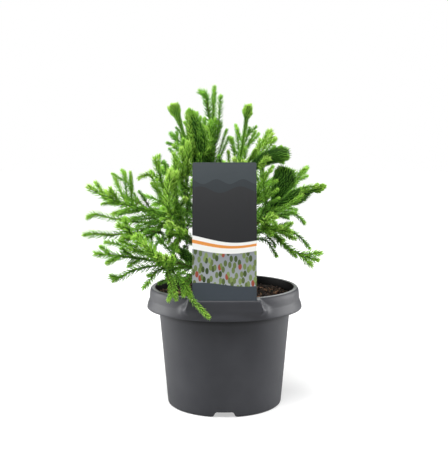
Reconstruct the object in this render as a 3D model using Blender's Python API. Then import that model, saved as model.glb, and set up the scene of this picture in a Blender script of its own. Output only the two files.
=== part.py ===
"""A dwarf cryptomeria with crested shoots, in its plastic nursery pot with its plant card.

+Z is up and the card faces -Y. The origin is the middle of the pot's underside.
Sizes and places below are in millimetres. The meshes are made in metres.
"""

import math
import random

import bmesh
import bpy
from mathutils import Matrix, Vector
from mathutils.bvhtree import BVHTree

MM = 0.001
GAP = 0.3
SMOOTH_ANGLE = math.radians(40)

# Pot: 170 mm across its collar, as a two-litre nursery pot is.
POT_HEIGHT = 129.5
POT_WALL = 1.3
POT_SEGMENTS = 48
BASE_RADIUS = 63.0
BASE_ROUNDING = 2.5
STEP_HEIGHT = 108.0
STEP_RADIUS = 72.4
STEP_OUT = 3.0
RIM_RADIUS = 77.2
COLLAR_RADIUS = 85.0
COLLAR_FOOT = 107.0
CREASE_HEIGHT = 117.0
CREASE_RADIUS = 82.3
SHOULDER_RADIUS = 81.4
SHOULDER_DROP = 4.0

# Pocket for the card, on the front of the collar.
POCKET_INSIDE = 78.0
POCKET_CORNERS = (
    (34.5, 83.6, 129.2),
    (36.0, 76.4, 129.2),
    (38.0, 84.3, 118.0),
    (46.0, 70.0, 119.0),
    (57.0, 59.5, 117.3),
    (30.0, 79.0, 109.5),
    (48.0, 67.0, 111.0),
)
SLOT_WIDTH = 1.4
SLOT_FLOOR = 117.5

# Card: a thin plastic sheet that bows back above the pocket.
CARD_WIDTH = 65.0
CARD_TOP = 267.0
CARD_THICKNESS = 0.6
CARD_PLANE = 82.3
CARD_BOW = 21.0
CARD_STRIPS = 8

# Drain channels under the floor: three, one of them under the card.
CHANNEL_COUNT = 3
CHANNEL_WIDTH = 21.0
CHANNEL_HEIGHT = 6.0
CHANNEL_START = 30.0
CHANNEL_SKIN = 1.5
DRAIN_RADIUS = 4.0
DRAIN_REACH = 48.0

# Root ball: compost up to 8.5 mm under the rim.
SOIL_TOP = 121.0
SOIL_FLAT_RADIUS = 14.0
SOIL_DIP = 1.6
SOIL_SEGMENTS = 36

# Trunk, from the flat cut on the compost to where it enters the leading shoot.
TRUNK_FOOT = (3.0, 2.0)
TRUNK_TOP = (-13.0, 6.0, 262.0)
TRUNK_BELLY = 3.5
TRUNK_SUNK = 4.0
TRUNK_RADIUS = 4.6
TRUNK_TOP_RADIUS = 2.0
FLARE_RADIUS = 3.2
FLARE_HEIGHT = 9.0
TRUNK_RINGS = 8
LIMB_SIDES = 8
BOUGH_RINGS = 5
BOUGH_TIP_RADIUS = 1.1
ROOT_DEPTH = 0.5

# Boughs: what carries it, place along that, far end, rise of the middle, radius at its root.
BOUGHS = {
    "bough_top_left": ("trunk", 0.61, (-38, 2, 276), 3, 2.0),
    "bough_top_right": ("trunk", 0.55, (17, 3, 268), -3, 2.1),
    "bough_right": ("trunk", 0.39, (55, -8, 216), -3, 2.3),
    "bough_right_low": ("trunk", 0.27, (45, -14, 198), 3, 2.2),
    "bough_left_high": ("trunk", 0.2, (-60, -8, 211), -6, 3.0),
    "bough_left": ("bough_left_high", 0.78, (-86, 6, 213), 2, 1.4),
    "bough_left_middle": ("bough_left_high", 0.7, (-80, 1, 199), 3, 1.4),
    "bough_left_front": ("trunk", 0.12, (-68, -48, 163), 4, 2.4),
    "bough_front_left": ("trunk", 0.06, (-40, -84, 147), 14, 2.2),
    "bough_back_left": ("trunk", 0.36, (-38, 44, 206), 2, 2.1),
    "bough_back": ("trunk", 0.20, (0, 52, 178), 3, 2.1),
    "bough_back_right": ("trunk", 0.31, (32, 42, 203), 2, 2.1),
}

# Masses of foliage: limb, place along it, tip, rise of the middle, width, thickness, form.
# The width lies across the view from the front, which is how the crests face.
MASSES = {
    "leader_column": ("trunk", 1.0, (-11, 10, 348), 0, 24, 15, "spray"),
    "leader_hook": ("trunk", 0.97, (-26, 17, 345), 0, 12, 11, "spray"),
    "crest_dark": ("bough_top_left", 0.55, (-36, -16, 321), 2, 27, 11, "crest"),
    "fan_top_left": ("bough_top_left", 1.0, (-56, 4, 327), 2, 15, 8, "fan"),
    "spray_top_left": ("bough_top_left", 0.86, (-60, 24, 297), -2, 15, 12, "spray"),
    "spray_beside_card": ("bough_top_left", 0.3, (-54, -18, 284), 3, 24, 14, "spray"),
    "fan_top_right": ("bough_top_right", 1.0, (26, 0, 326), 0, 12, 8, "fan"),
    "fan_right_of_leader": ("bough_top_right", 0.86, (24, 20, 304), 0, 26, 12, "fan"),
    "fan_light_right": ("bough_top_right", 0.74, (51, -4, 300), -3, 16, 11, "fan"),
    "comb_right": ("bough_top_right", 0.6, (67, -30, 275), 9, 19, 12, "crest"),
    "spray_left_high": ("bough_left_high", 1.0, (-75, -14, 271), 2, 17, 14, "spray"),
    "spray_left_arch": ("bough_left_high", 0.8, (-68, 28, 266), 4, 13, 12, "spray"),
    "spray_left_short": ("bough_left_high", 0.93, (-91, -26, 249), 9, 10, 9, "spray"),
    "spray_left_bright": ("bough_left_high", 0.7, (-57, -34, 258), 0, 17, 14, "spray"),
    "spray_left_centre": ("bough_left_high", 0.6, (-60, -38, 189), 4, 18, 16, "spray"),
    "fan_left_upright": ("bough_left", 0.93, (-114, 20, 256), -7, 25, 12, "fan"),
    "spray_left_long": ("bough_left", 1.0, (-149, 0, 239), -4, 19, 14, "spray"),
    "spray_left_middle": ("bough_left_middle", 0.8, (-148, -14, 206), 4, 12, 12, "spray"),
    "spray_left_level": ("bough_left_middle", 1.0, (-158, 16, 185), 1, 12, 12, "spray"),
    "spray_left_inner": ("bough_left_middle", 0.55, (-86, -24, 179), 4, 13, 12, "spray"),
    "crest_left_dark": ("bough_left_front", 0.35, (-55, -26, 178), 0, 13, 11, "crest"),
    "spray_left_front": ("bough_left_front", 0.95, (-109, -66, 204), 3, 19, 14, "spray"),
    "spray_left_behind": ("bough_left_front", 0.9, (-129, -26, 182), 1, 11, 11, "spray"),
    "spray_left_low": ("bough_left_front", 1.0, (-135, -58, 173), 1, 16, 14, "spray"),
    "spray_left_lowest": ("bough_left_front", 0.85, (-119, -44, 145), 6, 12, 11, "spray"),
    "spray_over_rim": ("bough_left_front", 0.75, (-84, -70, 138), 3, 12, 11, "spray"),
    "spray_hanging": ("bough_left_front", 0.6, (-53, -92, 129), 9, 17, 12, "spray"),
    "spray_on_card": ("bough_front_left", 1.0, (-14, -98, 112), 1, 9, 8, "spray"),
    "fan_dark_right": ("bough_right", 0.9, (68, -15, 259), 0, 26, 12, "fan"),
    "spray_right_long": ("bough_right", 1.0, (104, -38, 241), 2, 15, 13, "spray"),
    "spray_right_back": ("bough_right", 0.93, (93, 30, 259), -2, 11, 11, "spray"),
    "spray_right_thin": ("bough_right", 0.72, (90, 18, 196), 6, 11, 11, "spray"),
    "spray_right_inner": ("bough_right", 0.62, (45, -28, 263), 2, 15, 11, "spray"),
    "spray_right_full": ("bough_right_low", 0.7, (70, -48, 194), 4, 20, 15, "spray"),
    "spray_right_low": ("bough_right_low", 1.0, (104, -30, 164), 1, 20, 14, "spray"),
    "spray_right_lowest": ("bough_right_low", 0.82, (97, 34, 167), 4, 12, 11, "spray"),
    "spray_right_hanging": ("bough_right_low", 0.6, (56, -28, 165), 2, 9, 9, "spray"),
    "spray_back_left_high": ("bough_back_left", 1.0, (-60, 80, 258), 3, 32, 26, "spray"),
    "spray_back_left": ("bough_back_left", 0.75, (-78, 88, 214), 5, 32, 24, "spray"),
    "spray_back_high": ("bough_back", 0.8, (-6, 68, 262), -4, 34, 26, "spray"),
    "spray_back_low": ("bough_back", 1.0, (4, 114, 182), 6, 34, 26, "spray"),
    "spray_back_right_high": ("bough_back_right", 1.0, (48, 78, 250), 2, 32, 26, "spray"),
    "spray_back_right": ("bough_back_right", 0.75, (76, 82, 212), 5, 32, 24, "spray"),
    "spray_behind_card": ("trunk", 0.35, (8, -52, 246), 0, 26, 18, "spray"),
}

# A mass swells from its root to its full girth and closes at its tip: share of length, share of girth.
SPRAY_SWELL = ((0.0, 0.12), (0.12, 0.55), (0.35, 0.9), (0.65, 1.0), (0.85, 0.85), (0.95, 0.6), (1.0, 0.0))
FAN_SWELL = ((0.0, 0.12), (0.2, 0.4), (0.5, 0.66), (0.8, 1.0), (0.93, 0.95), (0.98, 0.6), (1.0, 0.0))
SWELLS = {"spray": SPRAY_SWELL, "crest": SPRAY_SWELL, "fan": FAN_SWELL}
MASS_SIDES = 8
MASS_RINGS = 7
UNEVENNESS = 0.09
AXIS_SAMPLES = 16
MASS_GAP = 0.35


def clear_scene():
    for thing in list(bpy.data.objects):
        bpy.data.objects.remove(thing, do_unlink=True)


def finish(name, red, green, blue, roughness):
    """A Principled material of one colour, in linear red, green and blue."""
    made = bpy.data.materials.new(name)
    made.use_nodes = True
    shader = made.node_tree.nodes["Principled BSDF"]
    shader.inputs["Base Color"].default_value = (red, green, blue, 1.0)
    shader.inputs["Roughness"].default_value = roughness
    shader.inputs["Metallic"].default_value = 0.0
    made.diffuse_color = (red, green, blue, 1.0)
    return made


def add_object(name, bm, material):
    """The bmesh, drawn in millimetres, as an object in metres."""
    bmesh.ops.scale(bm, vec=(MM, MM, MM), verts=bm.verts)
    bmesh.ops.recalc_face_normals(bm, faces=bm.faces)
    mesh = bpy.data.meshes.new(name)
    bm.to_mesh(mesh)
    bm.free()
    mesh.shade_smooth()
    mesh.set_sharp_from_angle(angle=SMOOTH_ANGLE)
    thing = bpy.data.objects.new(name, mesh)
    bpy.context.scene.collection.objects.link(thing)
    if material is not None:
        mesh.materials.append(material)
    return thing


def hide_cutter(thing):
    thing.hide_render = True
    thing.display_type = "WIRE"


def combine(thing, other, operation):
    """Cuts the other object from this one, or joins it on, with a live Boolean."""
    cut = thing.modifiers.new(other.name, "BOOLEAN")
    cut.operation = operation
    cut.object = other
    hide_cutter(other)


def turned(profile, segments):
    """A body of revolution about Z from its half outline, a list of (radius, height)."""
    bm = bmesh.new()
    outline = [bm.verts.new((radius, 0.0, height)) for radius, height in profile]
    edges = [bm.edges.new(pair) for pair in zip(outline, outline[1:])]
    if profile[0][0] > 0.0:
        edges.append(bm.edges.new((outline[-1], outline[0])))
    turn_geometry = outline + edges
    bmesh.ops.spin(
        bm, geom=turn_geometry, cent=(0, 0, 0), axis=(0, 0, 1), angle=math.tau, steps=segments, use_merge=True
    )
    bmesh.ops.remove_doubles(bm, verts=bm.verts, dist=0.0001)
    bmesh.ops.dissolve_degenerate(bm, edges=bm.edges, dist=0.0001)
    return bm


def wall_radius(height):
    """Outer radius of the pot's tapering wall below the step."""
    share = (height - BASE_ROUNDING) / (STEP_HEIGHT - BASE_ROUNDING)
    return BASE_RADIUS + (STEP_RADIUS - BASE_RADIUS) * share


def pot_profile():
    """Half section of the pot: floor, wall, step, hanging collar and rim."""
    inner_rim = RIM_RADIUS - POT_WALL
    skirt_inside = COLLAR_RADIUS - POT_WALL
    outside = [
        (0.0, 0.0),
        (BASE_RADIUS - BASE_ROUNDING, 0.0),
        (BASE_RADIUS - 0.3 * BASE_ROUNDING, 0.3 * BASE_ROUNDING),
        (BASE_RADIUS, BASE_ROUNDING),
        (STEP_RADIUS, STEP_HEIGHT),
        (STEP_RADIUS + STEP_OUT, STEP_HEIGHT + STEP_OUT),
    ]
    skirt = [
        (RIM_RADIUS - 0.4, POT_HEIGHT - SHOULDER_DROP),
        (RIM_RADIUS + 1.4, POT_HEIGHT - POT_WALL - 0.6),
        (SHOULDER_RADIUS - POT_WALL, POT_HEIGHT - SHOULDER_DROP),
        (CREASE_RADIUS - POT_WALL, CREASE_HEIGHT),
        (skirt_inside, COLLAR_FOOT + POT_WALL),
        (skirt_inside + 0.3, COLLAR_FOOT),
        (COLLAR_RADIUS - 0.2, COLLAR_FOOT),
        (COLLAR_RADIUS, COLLAR_FOOT + 1.4),
        (CREASE_RADIUS, CREASE_HEIGHT),
        (SHOULDER_RADIUS, POT_HEIGHT - SHOULDER_DROP),
        (SHOULDER_RADIUS - 1.2, POT_HEIGHT - 1.4),
        (RIM_RADIUS + 1.2, POT_HEIGHT),
        (inner_rim, POT_HEIGHT),
    ]
    inside = [
        (inner_rim - 0.4, POT_HEIGHT - SHOULDER_DROP),
        (STEP_RADIUS + STEP_OUT - POT_WALL, STEP_HEIGHT + STEP_OUT + 0.5),
        (STEP_RADIUS - POT_WALL, STEP_HEIGHT + 0.5),
        (BASE_RADIUS - POT_WALL, BASE_ROUNDING + POT_WALL),
        (BASE_RADIUS - POT_WALL - BASE_ROUNDING, CHANNEL_SKIN),
        (0.0, CHANNEL_SKIN),
    ]
    return outside + skirt + inside


def block(low, high):
    """A box between two corners."""
    bm = bmesh.new()
    low, high = Vector(low), Vector(high)
    bmesh.ops.create_cube(bm, size=1.0)
    bmesh.ops.scale(bm, vec=high - low, verts=bm.verts)
    bmesh.ops.translate(bm, vec=(low + high) / 2, verts=bm.verts)
    return bm


def upright_cylinder(radius, low, high, segments):
    bm = bmesh.new()
    depth = high - low
    bmesh.ops.create_cone(bm, cap_ends=True, segments=segments, radius1=radius, radius2=radius, depth=depth)
    bmesh.ops.translate(bm, vec=(0, 0, (low + high) / 2), verts=bm.verts)
    return bm


def turn(bm, index):
    """Turns a piece drawn at the front, towards -Y, to one of the drain channels."""
    angle = math.tau * index / CHANNEL_COUNT
    bmesh.ops.rotate(bm, cent=(0, 0, 0), matrix=Matrix.Rotation(angle, 3, "Z"), verts=bm.verts)
    return bm


def channel_box(index, side, roof, reach):
    """A box over one drain channel, grown by side and roof, out to reach from the axis."""
    half = CHANNEL_WIDTH / 2 + side
    low = (-half, -reach, -2.0 if side == 0 else CHANNEL_SKIN / 2)
    high = (half, -CHANNEL_START + side, CHANNEL_HEIGHT + roof)
    return turn(block(low, high), index)


def pocket_body():
    """The outside of the card pocket: a flat front whose sides sweep out to the collar's crease."""
    bm = bmesh.new()
    corners = [bm.verts.new((sign * x, -y, z)) for x, y, z in POCKET_CORNERS for sign in (-1, 1)]
    bmesh.ops.convex_hull(bm, input=corners)
    return bm


def make_pot(plastic):
    pot = add_object("pot", turned(pot_profile(), POT_SEGMENTS), plastic)
    pocket = add_object("pocket_body", pocket_body(), None)
    core = upright_cylinder(POCKET_INSIDE, COLLAR_FOOT - 10, POT_HEIGHT + 10, POT_SEGMENTS)
    combine(pocket, add_object("pocket_core", core, None), "DIFFERENCE")
    combine(pot, pocket, "UNION")
    half = CARD_WIDTH / 2 + SLOT_WIDTH / 2
    front = -(CARD_PLANE - CARD_THICKNESS / 2 + SLOT_WIDTH / 2)
    slot = block((-half, front, SLOT_FLOOR), (half, front + SLOT_WIDTH, POT_HEIGHT + 5))
    combine(pot, add_object("card_slot", slot, None), "DIFFERENCE")
    for index in range(CHANNEL_COUNT):
        roof = channel_box(index, CHANNEL_SKIN, CHANNEL_SKIN, BASE_RADIUS - POT_WALL)
        combine(pot, add_object(f"channel_roof_{index}", roof, None), "UNION")
    for index in range(CHANNEL_COUNT):
        void = channel_box(index, 0, 0, BASE_RADIUS + 10)
        combine(pot, add_object(f"channel_void_{index}", void, None), "DIFFERENCE")
        drain = upright_cylinder(DRAIN_RADIUS, CHANNEL_HEIGHT - 2, CHANNEL_HEIGHT + 2 * CHANNEL_SKIN, 16)
        bmesh.ops.translate(drain, vec=(0, -DRAIN_REACH, 0), verts=drain.verts)
        combine(pot, add_object(f"drain_{index}", turn(drain, index), None), "DIFFERENCE")
    return pot


def make_root_ball(compost):
    """Compost that fills the pot, a little sunk towards the wall."""
    bottom = CHANNEL_SKIN + GAP
    inset = POT_WALL + GAP + 0.1
    profile = [
        (0.0, bottom),
        (BASE_RADIUS - inset - BASE_ROUNDING - 0.4, bottom),
        (BASE_RADIUS - inset, BASE_ROUNDING + POT_WALL + 0.6),
        (wall_radius(STEP_HEIGHT) - inset, STEP_HEIGHT),
        (STEP_RADIUS + STEP_OUT - inset - 1.0, STEP_HEIGHT + STEP_OUT + 1.5),
        (STEP_RADIUS + STEP_OUT - inset, SOIL_TOP - SOIL_DIP),
        (0.6 * STEP_RADIUS, SOIL_TOP - 0.6 * SOIL_DIP),
        (SOIL_FLAT_RADIUS, SOIL_TOP),
        (0.0, SOIL_TOP),
    ]
    ball = add_object("root_ball", turned(profile, SOIL_SEGMENTS), compost)
    for index in range(CHANNEL_COUNT):
        around = channel_box(index, CHANNEL_SKIN + GAP, CHANNEL_SKIN + GAP, BASE_RADIUS + 10)
        combine(ball, add_object(f"channel_clearance_{index}", around, None), "DIFFERENCE")
    return ball


def make_card(card_plastic):
    """The card stands in its slot, then bows back evenly to its top."""
    foot = SLOT_FLOOR + GAP
    heights = [foot] + [
        POT_HEIGHT + (CARD_TOP - POT_HEIGHT) * step / CARD_STRIPS for step in range(CARD_STRIPS + 1)
    ]
    bm = bmesh.new()
    front, back = [], []
    for height in heights:
        share = max(0.0, (height - POT_HEIGHT) / (CARD_TOP - POT_HEIGHT))
        set_back = CARD_BOW * share * share
        front.append((-CARD_PLANE + set_back, height))
        back.append((-CARD_PLANE + CARD_THICKNESS + set_back, height))
    outline = [bm.verts.new((-CARD_WIDTH / 2, y, z)) for y, z in front + back[::-1]]
    face = bm.faces.new(outline)
    swept = bmesh.ops.extrude_face_region(bm, geom=[face])["geom"]
    moved = [item for item in swept if isinstance(item, bmesh.types.BMVert)]
    bmesh.ops.translate(bm, vec=(CARD_WIDTH, 0, 0), verts=moved)
    return add_object("card", bm, card_plastic)


def bent_line(start, end, rise, count):
    """Evenly spaced points from start to end, whose middle is lifted by rise."""
    start, end = Vector(start), Vector(end)
    points = []
    for step in range(count):
        share = step / (count - 1)
        points.append(start.lerp(end, share) + Vector((0, 0, 4 * rise * share * (1 - share))))
    return points


def point_on(line, share):
    """The point, and the direction, at a share of the way along a line of points."""
    place = min(share * (len(line) - 1), len(line) - 1.0001)
    index = int(place)
    start, end = line[index], line[index + 1]
    return start.lerp(end, place - index), (end - start).normalized()


def facing_of(line):
    """The way a limb or mass turns its flat side: to the front, or up if it runs front to back."""
    run = (line[-1] - line[0]).normalized()
    return Vector((0, 0, 1)) if abs(run.y) > 0.75 else Vector((0, 1, 0))


def across(direction, facing):
    """Two unit vectors square to a direction: one across the facing vector, one along it."""
    side = direction.cross(facing).normalized()
    return side, side.cross(direction).normalized()


def limb_mesh(line, radii):
    """A round limb along a line of points, with a flat end at each end."""
    bm = bmesh.new()
    loops = []
    for index, (centre, radius) in enumerate(zip(line, radii)):
        ahead = line[min(index + 1, len(line) - 1)] - line[max(index - 1, 0)]
        place = Matrix.Translation(centre) @ ahead.to_track_quat("Z", "X").to_matrix().to_4x4()
        ring = bmesh.ops.create_circle(bm, segments=LIMB_SIDES, radius=radius, matrix=place)["verts"]
        loops.append(list({edge for vert in ring for edge in vert.link_edges}))
    for lower, upper in zip(loops, loops[1:]):
        bmesh.ops.bridge_loops(bm, edges=lower + upper)
    bmesh.ops.holes_fill(bm, edges=loops[0] + loops[-1], sides=0)
    bmesh.ops.recalc_face_normals(bm, faces=bm.faces)
    return bm


def trunk_line():
    """The trunk's middle line, from a little under the compost, with a belly to the right."""
    foot = (*TRUNK_FOOT, SOIL_TOP - TRUNK_SUNK)
    line = bent_line(foot, TRUNK_TOP, 0, TRUNK_RINGS)
    for index, point in enumerate(line):
        share = index / (TRUNK_RINGS - 1)
        point.x += TRUNK_BELLY * math.sin(math.pi * share)
    return line


def trunk_radius(height):
    """The trunk's radius: an even taper, and a flare at the foot."""
    share = (height - SOIL_TOP) / (TRUNK_TOP[2] - SOIL_TOP)
    taper = TRUNK_RADIUS + (TRUNK_TOP_RADIUS - TRUNK_RADIUS) * share
    return taper + FLARE_RADIUS * math.exp(-(height - SOIL_TOP) / FLARE_HEIGHT)


def root_on(axis_point, axis_radius, end):
    """Where a limb begins: just inside the one that carries it, on the side it leaves from."""
    return axis_point + (Vector(end) - axis_point).normalized() * (ROOT_DEPTH * axis_radius)


def bough_radii(first):
    last = BOUGH_RINGS - 1
    return [first + (BOUGH_TIP_RADIUS - first) * step / last for step in range(BOUGH_RINGS)]


def cut_flat(bm, place, outward):
    """Takes off what lies beyond a plane, and closes the cut."""
    everything = bm.verts[:] + bm.edges[:] + bm.faces[:]
    bmesh.ops.bisect_plane(bm, geom=everything, plane_co=place, plane_no=outward, clear_outer=True)
    open_edges = [edge for edge in bm.edges if edge.is_boundary]
    if open_edges:
        bmesh.ops.holes_fill(bm, edges=open_edges, sides=0)


def sleeve_mesh(line, radii):
    """A limb grown by the gap all round, to cut others clear of it."""
    ahead = (line[-1] - line[-2]).normalized() * GAP
    return limb_mesh([*line[:-1], line[-1] + ahead], [radius + GAP for radius in radii])


def make_limbs(bark):
    """The trunk and its boughs. Returns each limb's line, radii and hidden sleeve, by name."""
    line = trunk_line()
    limbs = {"trunk": (line, [trunk_radius(point.z) for point in line])}
    for name, (carrier, share, end, rise, radius) in BOUGHS.items():
        carrier_line, carrier_radii = limbs[carrier]
        place, _ = point_on(carrier_line, share)
        start = root_on(place, carrier_radii[int(share * (len(carrier_radii) - 1))], end)
        limbs[name] = (bent_line(start, end, rise, BOUGH_RINGS), bough_radii(radius))
    sleeves = {}
    for name, (points, sizes) in limbs.items():
        mesh = limb_mesh(points, sizes)
        if name == "trunk":
            cut_flat(mesh, Vector((0, 0, SOIL_TOP + GAP)), Vector((0, 0, -1)))
        limb = add_object(name, mesh, bark)
        sleeves[name] = add_object(f"sleeve_{name}", sleeve_mesh(points, sizes), None)
        if name in BOUGHS:
            combine(limb, sleeves[BOUGHS[name][0]], "DIFFERENCE")
    return limbs, sleeves


def swell_at(swell, share):
    """The girth at a share of the length, read between the named stations."""
    for (low, girth_low), (high, girth_high) in zip(swell, swell[1:]):
        if share <= high:
            return girth_low + (girth_high - girth_low) * (share - low) / (high - low)
    return swell[-1][1]


def mass_axis(line, radii, share, tip, rise):
    """The line along the middle of a mass, from just inside its limb to its tip."""
    place, _ = point_on(line, share)
    start = root_on(place, radii[int(share * (len(radii) - 1))], tip)
    return bent_line(start, tip, rise, AXIS_SAMPLES)


def mass_mesh(name, axis, width, thickness, form):
    """A closed, uneven solid round an axis: a sphere drawn out along it and swelled."""
    chance = random.Random(name)
    facing = facing_of(axis)
    bm = bmesh.new()
    bmesh.ops.create_uvsphere(bm, u_segments=MASS_SIDES, v_segments=MASS_RINGS, radius=1.0)
    for vert in bm.verts:
        share = math.acos(max(-1.0, min(1.0, -vert.co.z))) / math.pi
        round_part = Vector((vert.co.x, vert.co.y))
        turned_to = round_part.normalized() if round_part.length > 0.001 else Vector((0, 0))
        centre, direction = point_on(axis, share)
        side, over = across(direction, facing)
        girth = swell_at(SWELLS[form], share) * (1 + chance.uniform(-UNEVENNESS, UNEVENNESS))
        wide, deep = turned_to.x * girth * width / 2, turned_to.y * girth * thickness / 2
        vert.co = centre + side * wide + over * deep
    bmesh.ops.recalc_face_normals(bm, faces=bm.faces)
    return bm


def parting_plane(axis, radii, other, other_radii):
    """The plane that best parts two bent, swelling masses: a point on it and its normal."""
    best = None
    for here in axis:
        for there in other:
            outward = (there - here).normalized()
            reach = max(outward.dot(point) + radius for point, radius in zip(axis, radii))
            start = min(outward.dot(point) - radius for point, radius in zip(other, other_radii))
            if best is None or start - reach > best[0]:
                best = (start - reach, outward, (start + reach) / 2)
    _, outward, distance = best
    return outward * distance, outward


def part_neighbours(meshes, axes, radii):
    """Where two masses would run into each other, both are cut flat along the plane between them."""
    names = list(meshes)
    for index, name in enumerate(names):
        for other in names[index + 1 :]:
            tree = BVHTree.FromBMesh(meshes[name])
            if not tree.overlap(BVHTree.FromBMesh(meshes[other])):
                continue
            middle, outward = parting_plane(axes[name], radii[name], axes[other], radii[other])
            cut_flat(meshes[name], middle - outward * MASS_GAP / 2, outward)
            cut_flat(meshes[other], middle + outward * MASS_GAP / 2, -outward)


def tree_of(thing):
    """The object's surface, for finding what it runs into."""
    corners = [vert.co for vert in thing.data.vertices]
    return BVHTree.FromPolygons(corners, [face.vertices for face in thing.data.polygons])


def cut_round_limbs(masses, sleeves):
    """Each mass that a limb runs into or through is cut round that limb."""
    for sleeve in sleeves.values():
        reach = tree_of(sleeve)
        hide_cutter(sleeve)
        for mass in masses:
            if tree_of(mass).overlap(reach):
                combine(mass, sleeve, "DIFFERENCE")


def make_masses(limbs, sleeves, greens):
    axes, radii, meshes = {}, {}, {}
    for name, (limb, share, tip, rise, width, thickness, form) in MASSES.items():
        axes[name] = mass_axis(*limbs[limb], share, tip, rise)
        stations = [step / (AXIS_SAMPLES - 1) for step in range(AXIS_SAMPLES)]
        radii[name] = [swell_at(SWELLS[form], station) * (width + thickness) / 4 for station in stations]
        meshes[name] = mass_mesh(name, axes[name], width, thickness, form)
    part_neighbours(meshes, axes, radii)
    masses = [add_object(name, bm, greens[MASSES[name][-1]]) for name, bm in meshes.items()]
    cut_round_limbs(masses, sleeves)


def main():
    clear_scene()
    plastic = finish("polypropylene_pot", 0.055, 0.057, 0.062, 0.45)
    compost = finish("peat_compost", 0.03, 0.017, 0.01, 0.95)
    card_plastic = finish("printed_card", 0.045, 0.047, 0.053, 0.35)
    bark = finish("twig_bark", 0.09, 0.055, 0.03, 0.85)
    greens = {
        "spray": finish("spray_green", 0.10, 0.28, 0.03, 0.5),
        "crest": finish("crest_green", 0.04, 0.13, 0.02, 0.55),
        "fan": finish("fan_green", 0.06, 0.20, 0.02, 0.55),
    }
    make_pot(plastic)
    make_root_ball(compost)
    make_card(card_plastic)
    limbs, sleeves = make_limbs(bark)
    make_masses(limbs, sleeves, greens)


main()
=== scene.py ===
import math

import bmesh
import bpy
import numpy as np
from mathutils import Matrix, Vector, noise


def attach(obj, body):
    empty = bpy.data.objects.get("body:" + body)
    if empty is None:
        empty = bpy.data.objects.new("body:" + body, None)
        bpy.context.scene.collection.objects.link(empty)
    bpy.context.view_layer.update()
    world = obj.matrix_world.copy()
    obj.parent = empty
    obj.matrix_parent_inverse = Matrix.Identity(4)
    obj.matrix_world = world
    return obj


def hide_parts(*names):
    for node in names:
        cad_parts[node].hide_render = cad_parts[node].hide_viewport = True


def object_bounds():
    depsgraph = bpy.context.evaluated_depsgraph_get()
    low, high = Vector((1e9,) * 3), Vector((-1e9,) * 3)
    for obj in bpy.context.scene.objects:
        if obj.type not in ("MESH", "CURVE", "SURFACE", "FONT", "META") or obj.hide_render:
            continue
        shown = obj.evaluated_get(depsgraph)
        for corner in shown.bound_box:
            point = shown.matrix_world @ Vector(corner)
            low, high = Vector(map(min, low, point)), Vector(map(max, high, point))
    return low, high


# Looks of a dwarf cryptomeria with crested shoots, in its plastic nursery pot with its plant card.
# +Z is up and the card faces -Y. Places and sizes are in millimetres, and the finished meshes in metres.

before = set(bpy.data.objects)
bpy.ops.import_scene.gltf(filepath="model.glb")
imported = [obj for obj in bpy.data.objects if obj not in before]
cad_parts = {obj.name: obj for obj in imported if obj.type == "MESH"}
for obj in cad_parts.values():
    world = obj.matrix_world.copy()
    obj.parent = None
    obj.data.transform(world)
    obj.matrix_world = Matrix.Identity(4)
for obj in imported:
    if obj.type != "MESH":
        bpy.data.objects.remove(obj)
cad_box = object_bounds()

MM = 0.001
chance = np.random.default_rng(41)

# Studio
LAMP_AIM = (0, 0, 0.17)
SOFTBOXES = (
    ("left_softbox", (-1.0, 0.2, 0.28), 0.8, 17.0),
    ("right_softbox", (1.0, 0.2, 0.2), 0.8, 18.0),
    ("top_softbox", (-0.3, -0.3, 1.3), 0.7, 10.0),
    ("front_softbox", (-0.15, -0.85, 1.5), 0.8, 26.0),
)
ROOM_LIGHT = 0.12
FLOOR_RADIUS = 6000
FLOOR_FADE = (0.25, 1.2)
FLOOR_GLOW = (0.5, 1.0)
CAMERA_PLACE = (-0.0005, -0.946, 0.296)
CAMERA_TILT = math.radians(84.0)
CAMERA_LENS = 69.5

# Pot
POT_HEIGHT = 129.5
FLOOR_THICKNESS = 1.5
FRONT_ARC = math.radians(110)
FRONT_STEPS = 330
REST_STEPS = 100
COLLAR_LIP_RADIUS = 79.2
COLLAR_RADIUS = 81.4
PANEL_FRONT = 83.6
PANEL_FLAT = (math.radians(23.2), math.radians(25.0))
PANEL_REACH = (math.radians(28.5), math.radians(44.0))
PANEL_DROP = 11.0
PANEL_FOOT = 109.0
CREASE_HEIGHT = 117.5
UNDER_COLLAR_RADIUS = 75.0
COLLAR_SHADE_HEIGHTS = (98.0, 105.0)
LIP_HIGHLIGHT_HEIGHTS = (128.8, 129.35)
SLOT_SIZE = (66.6, 1.4)
SLOT_FLOOR = 117.5
CHANNEL_COUNT = 3
CHANNEL_WIDTH = 21.0
CHANNEL_HEIGHT = 6.0
CHANNEL_ENDS = (30.0, 75.0)
CHANNEL_WALL = 1.5
CHANNEL_WALL_END = 61.0
CHANNEL_CORNER = ((0, 2.5), (0.8, 0.8), (2.5, 0))
CHANNEL_FLARE = ((4.0, -2.0), (3.4, 0.3), (1.2, 1.4), (0.2, 3.0))
DRAIN_REACH = 48.0
DRAIN_RADIUS = 4.0
DRAIN_DEPTH = 4
INSIDE_HEIGHTS = (12.0, 129.0)

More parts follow.
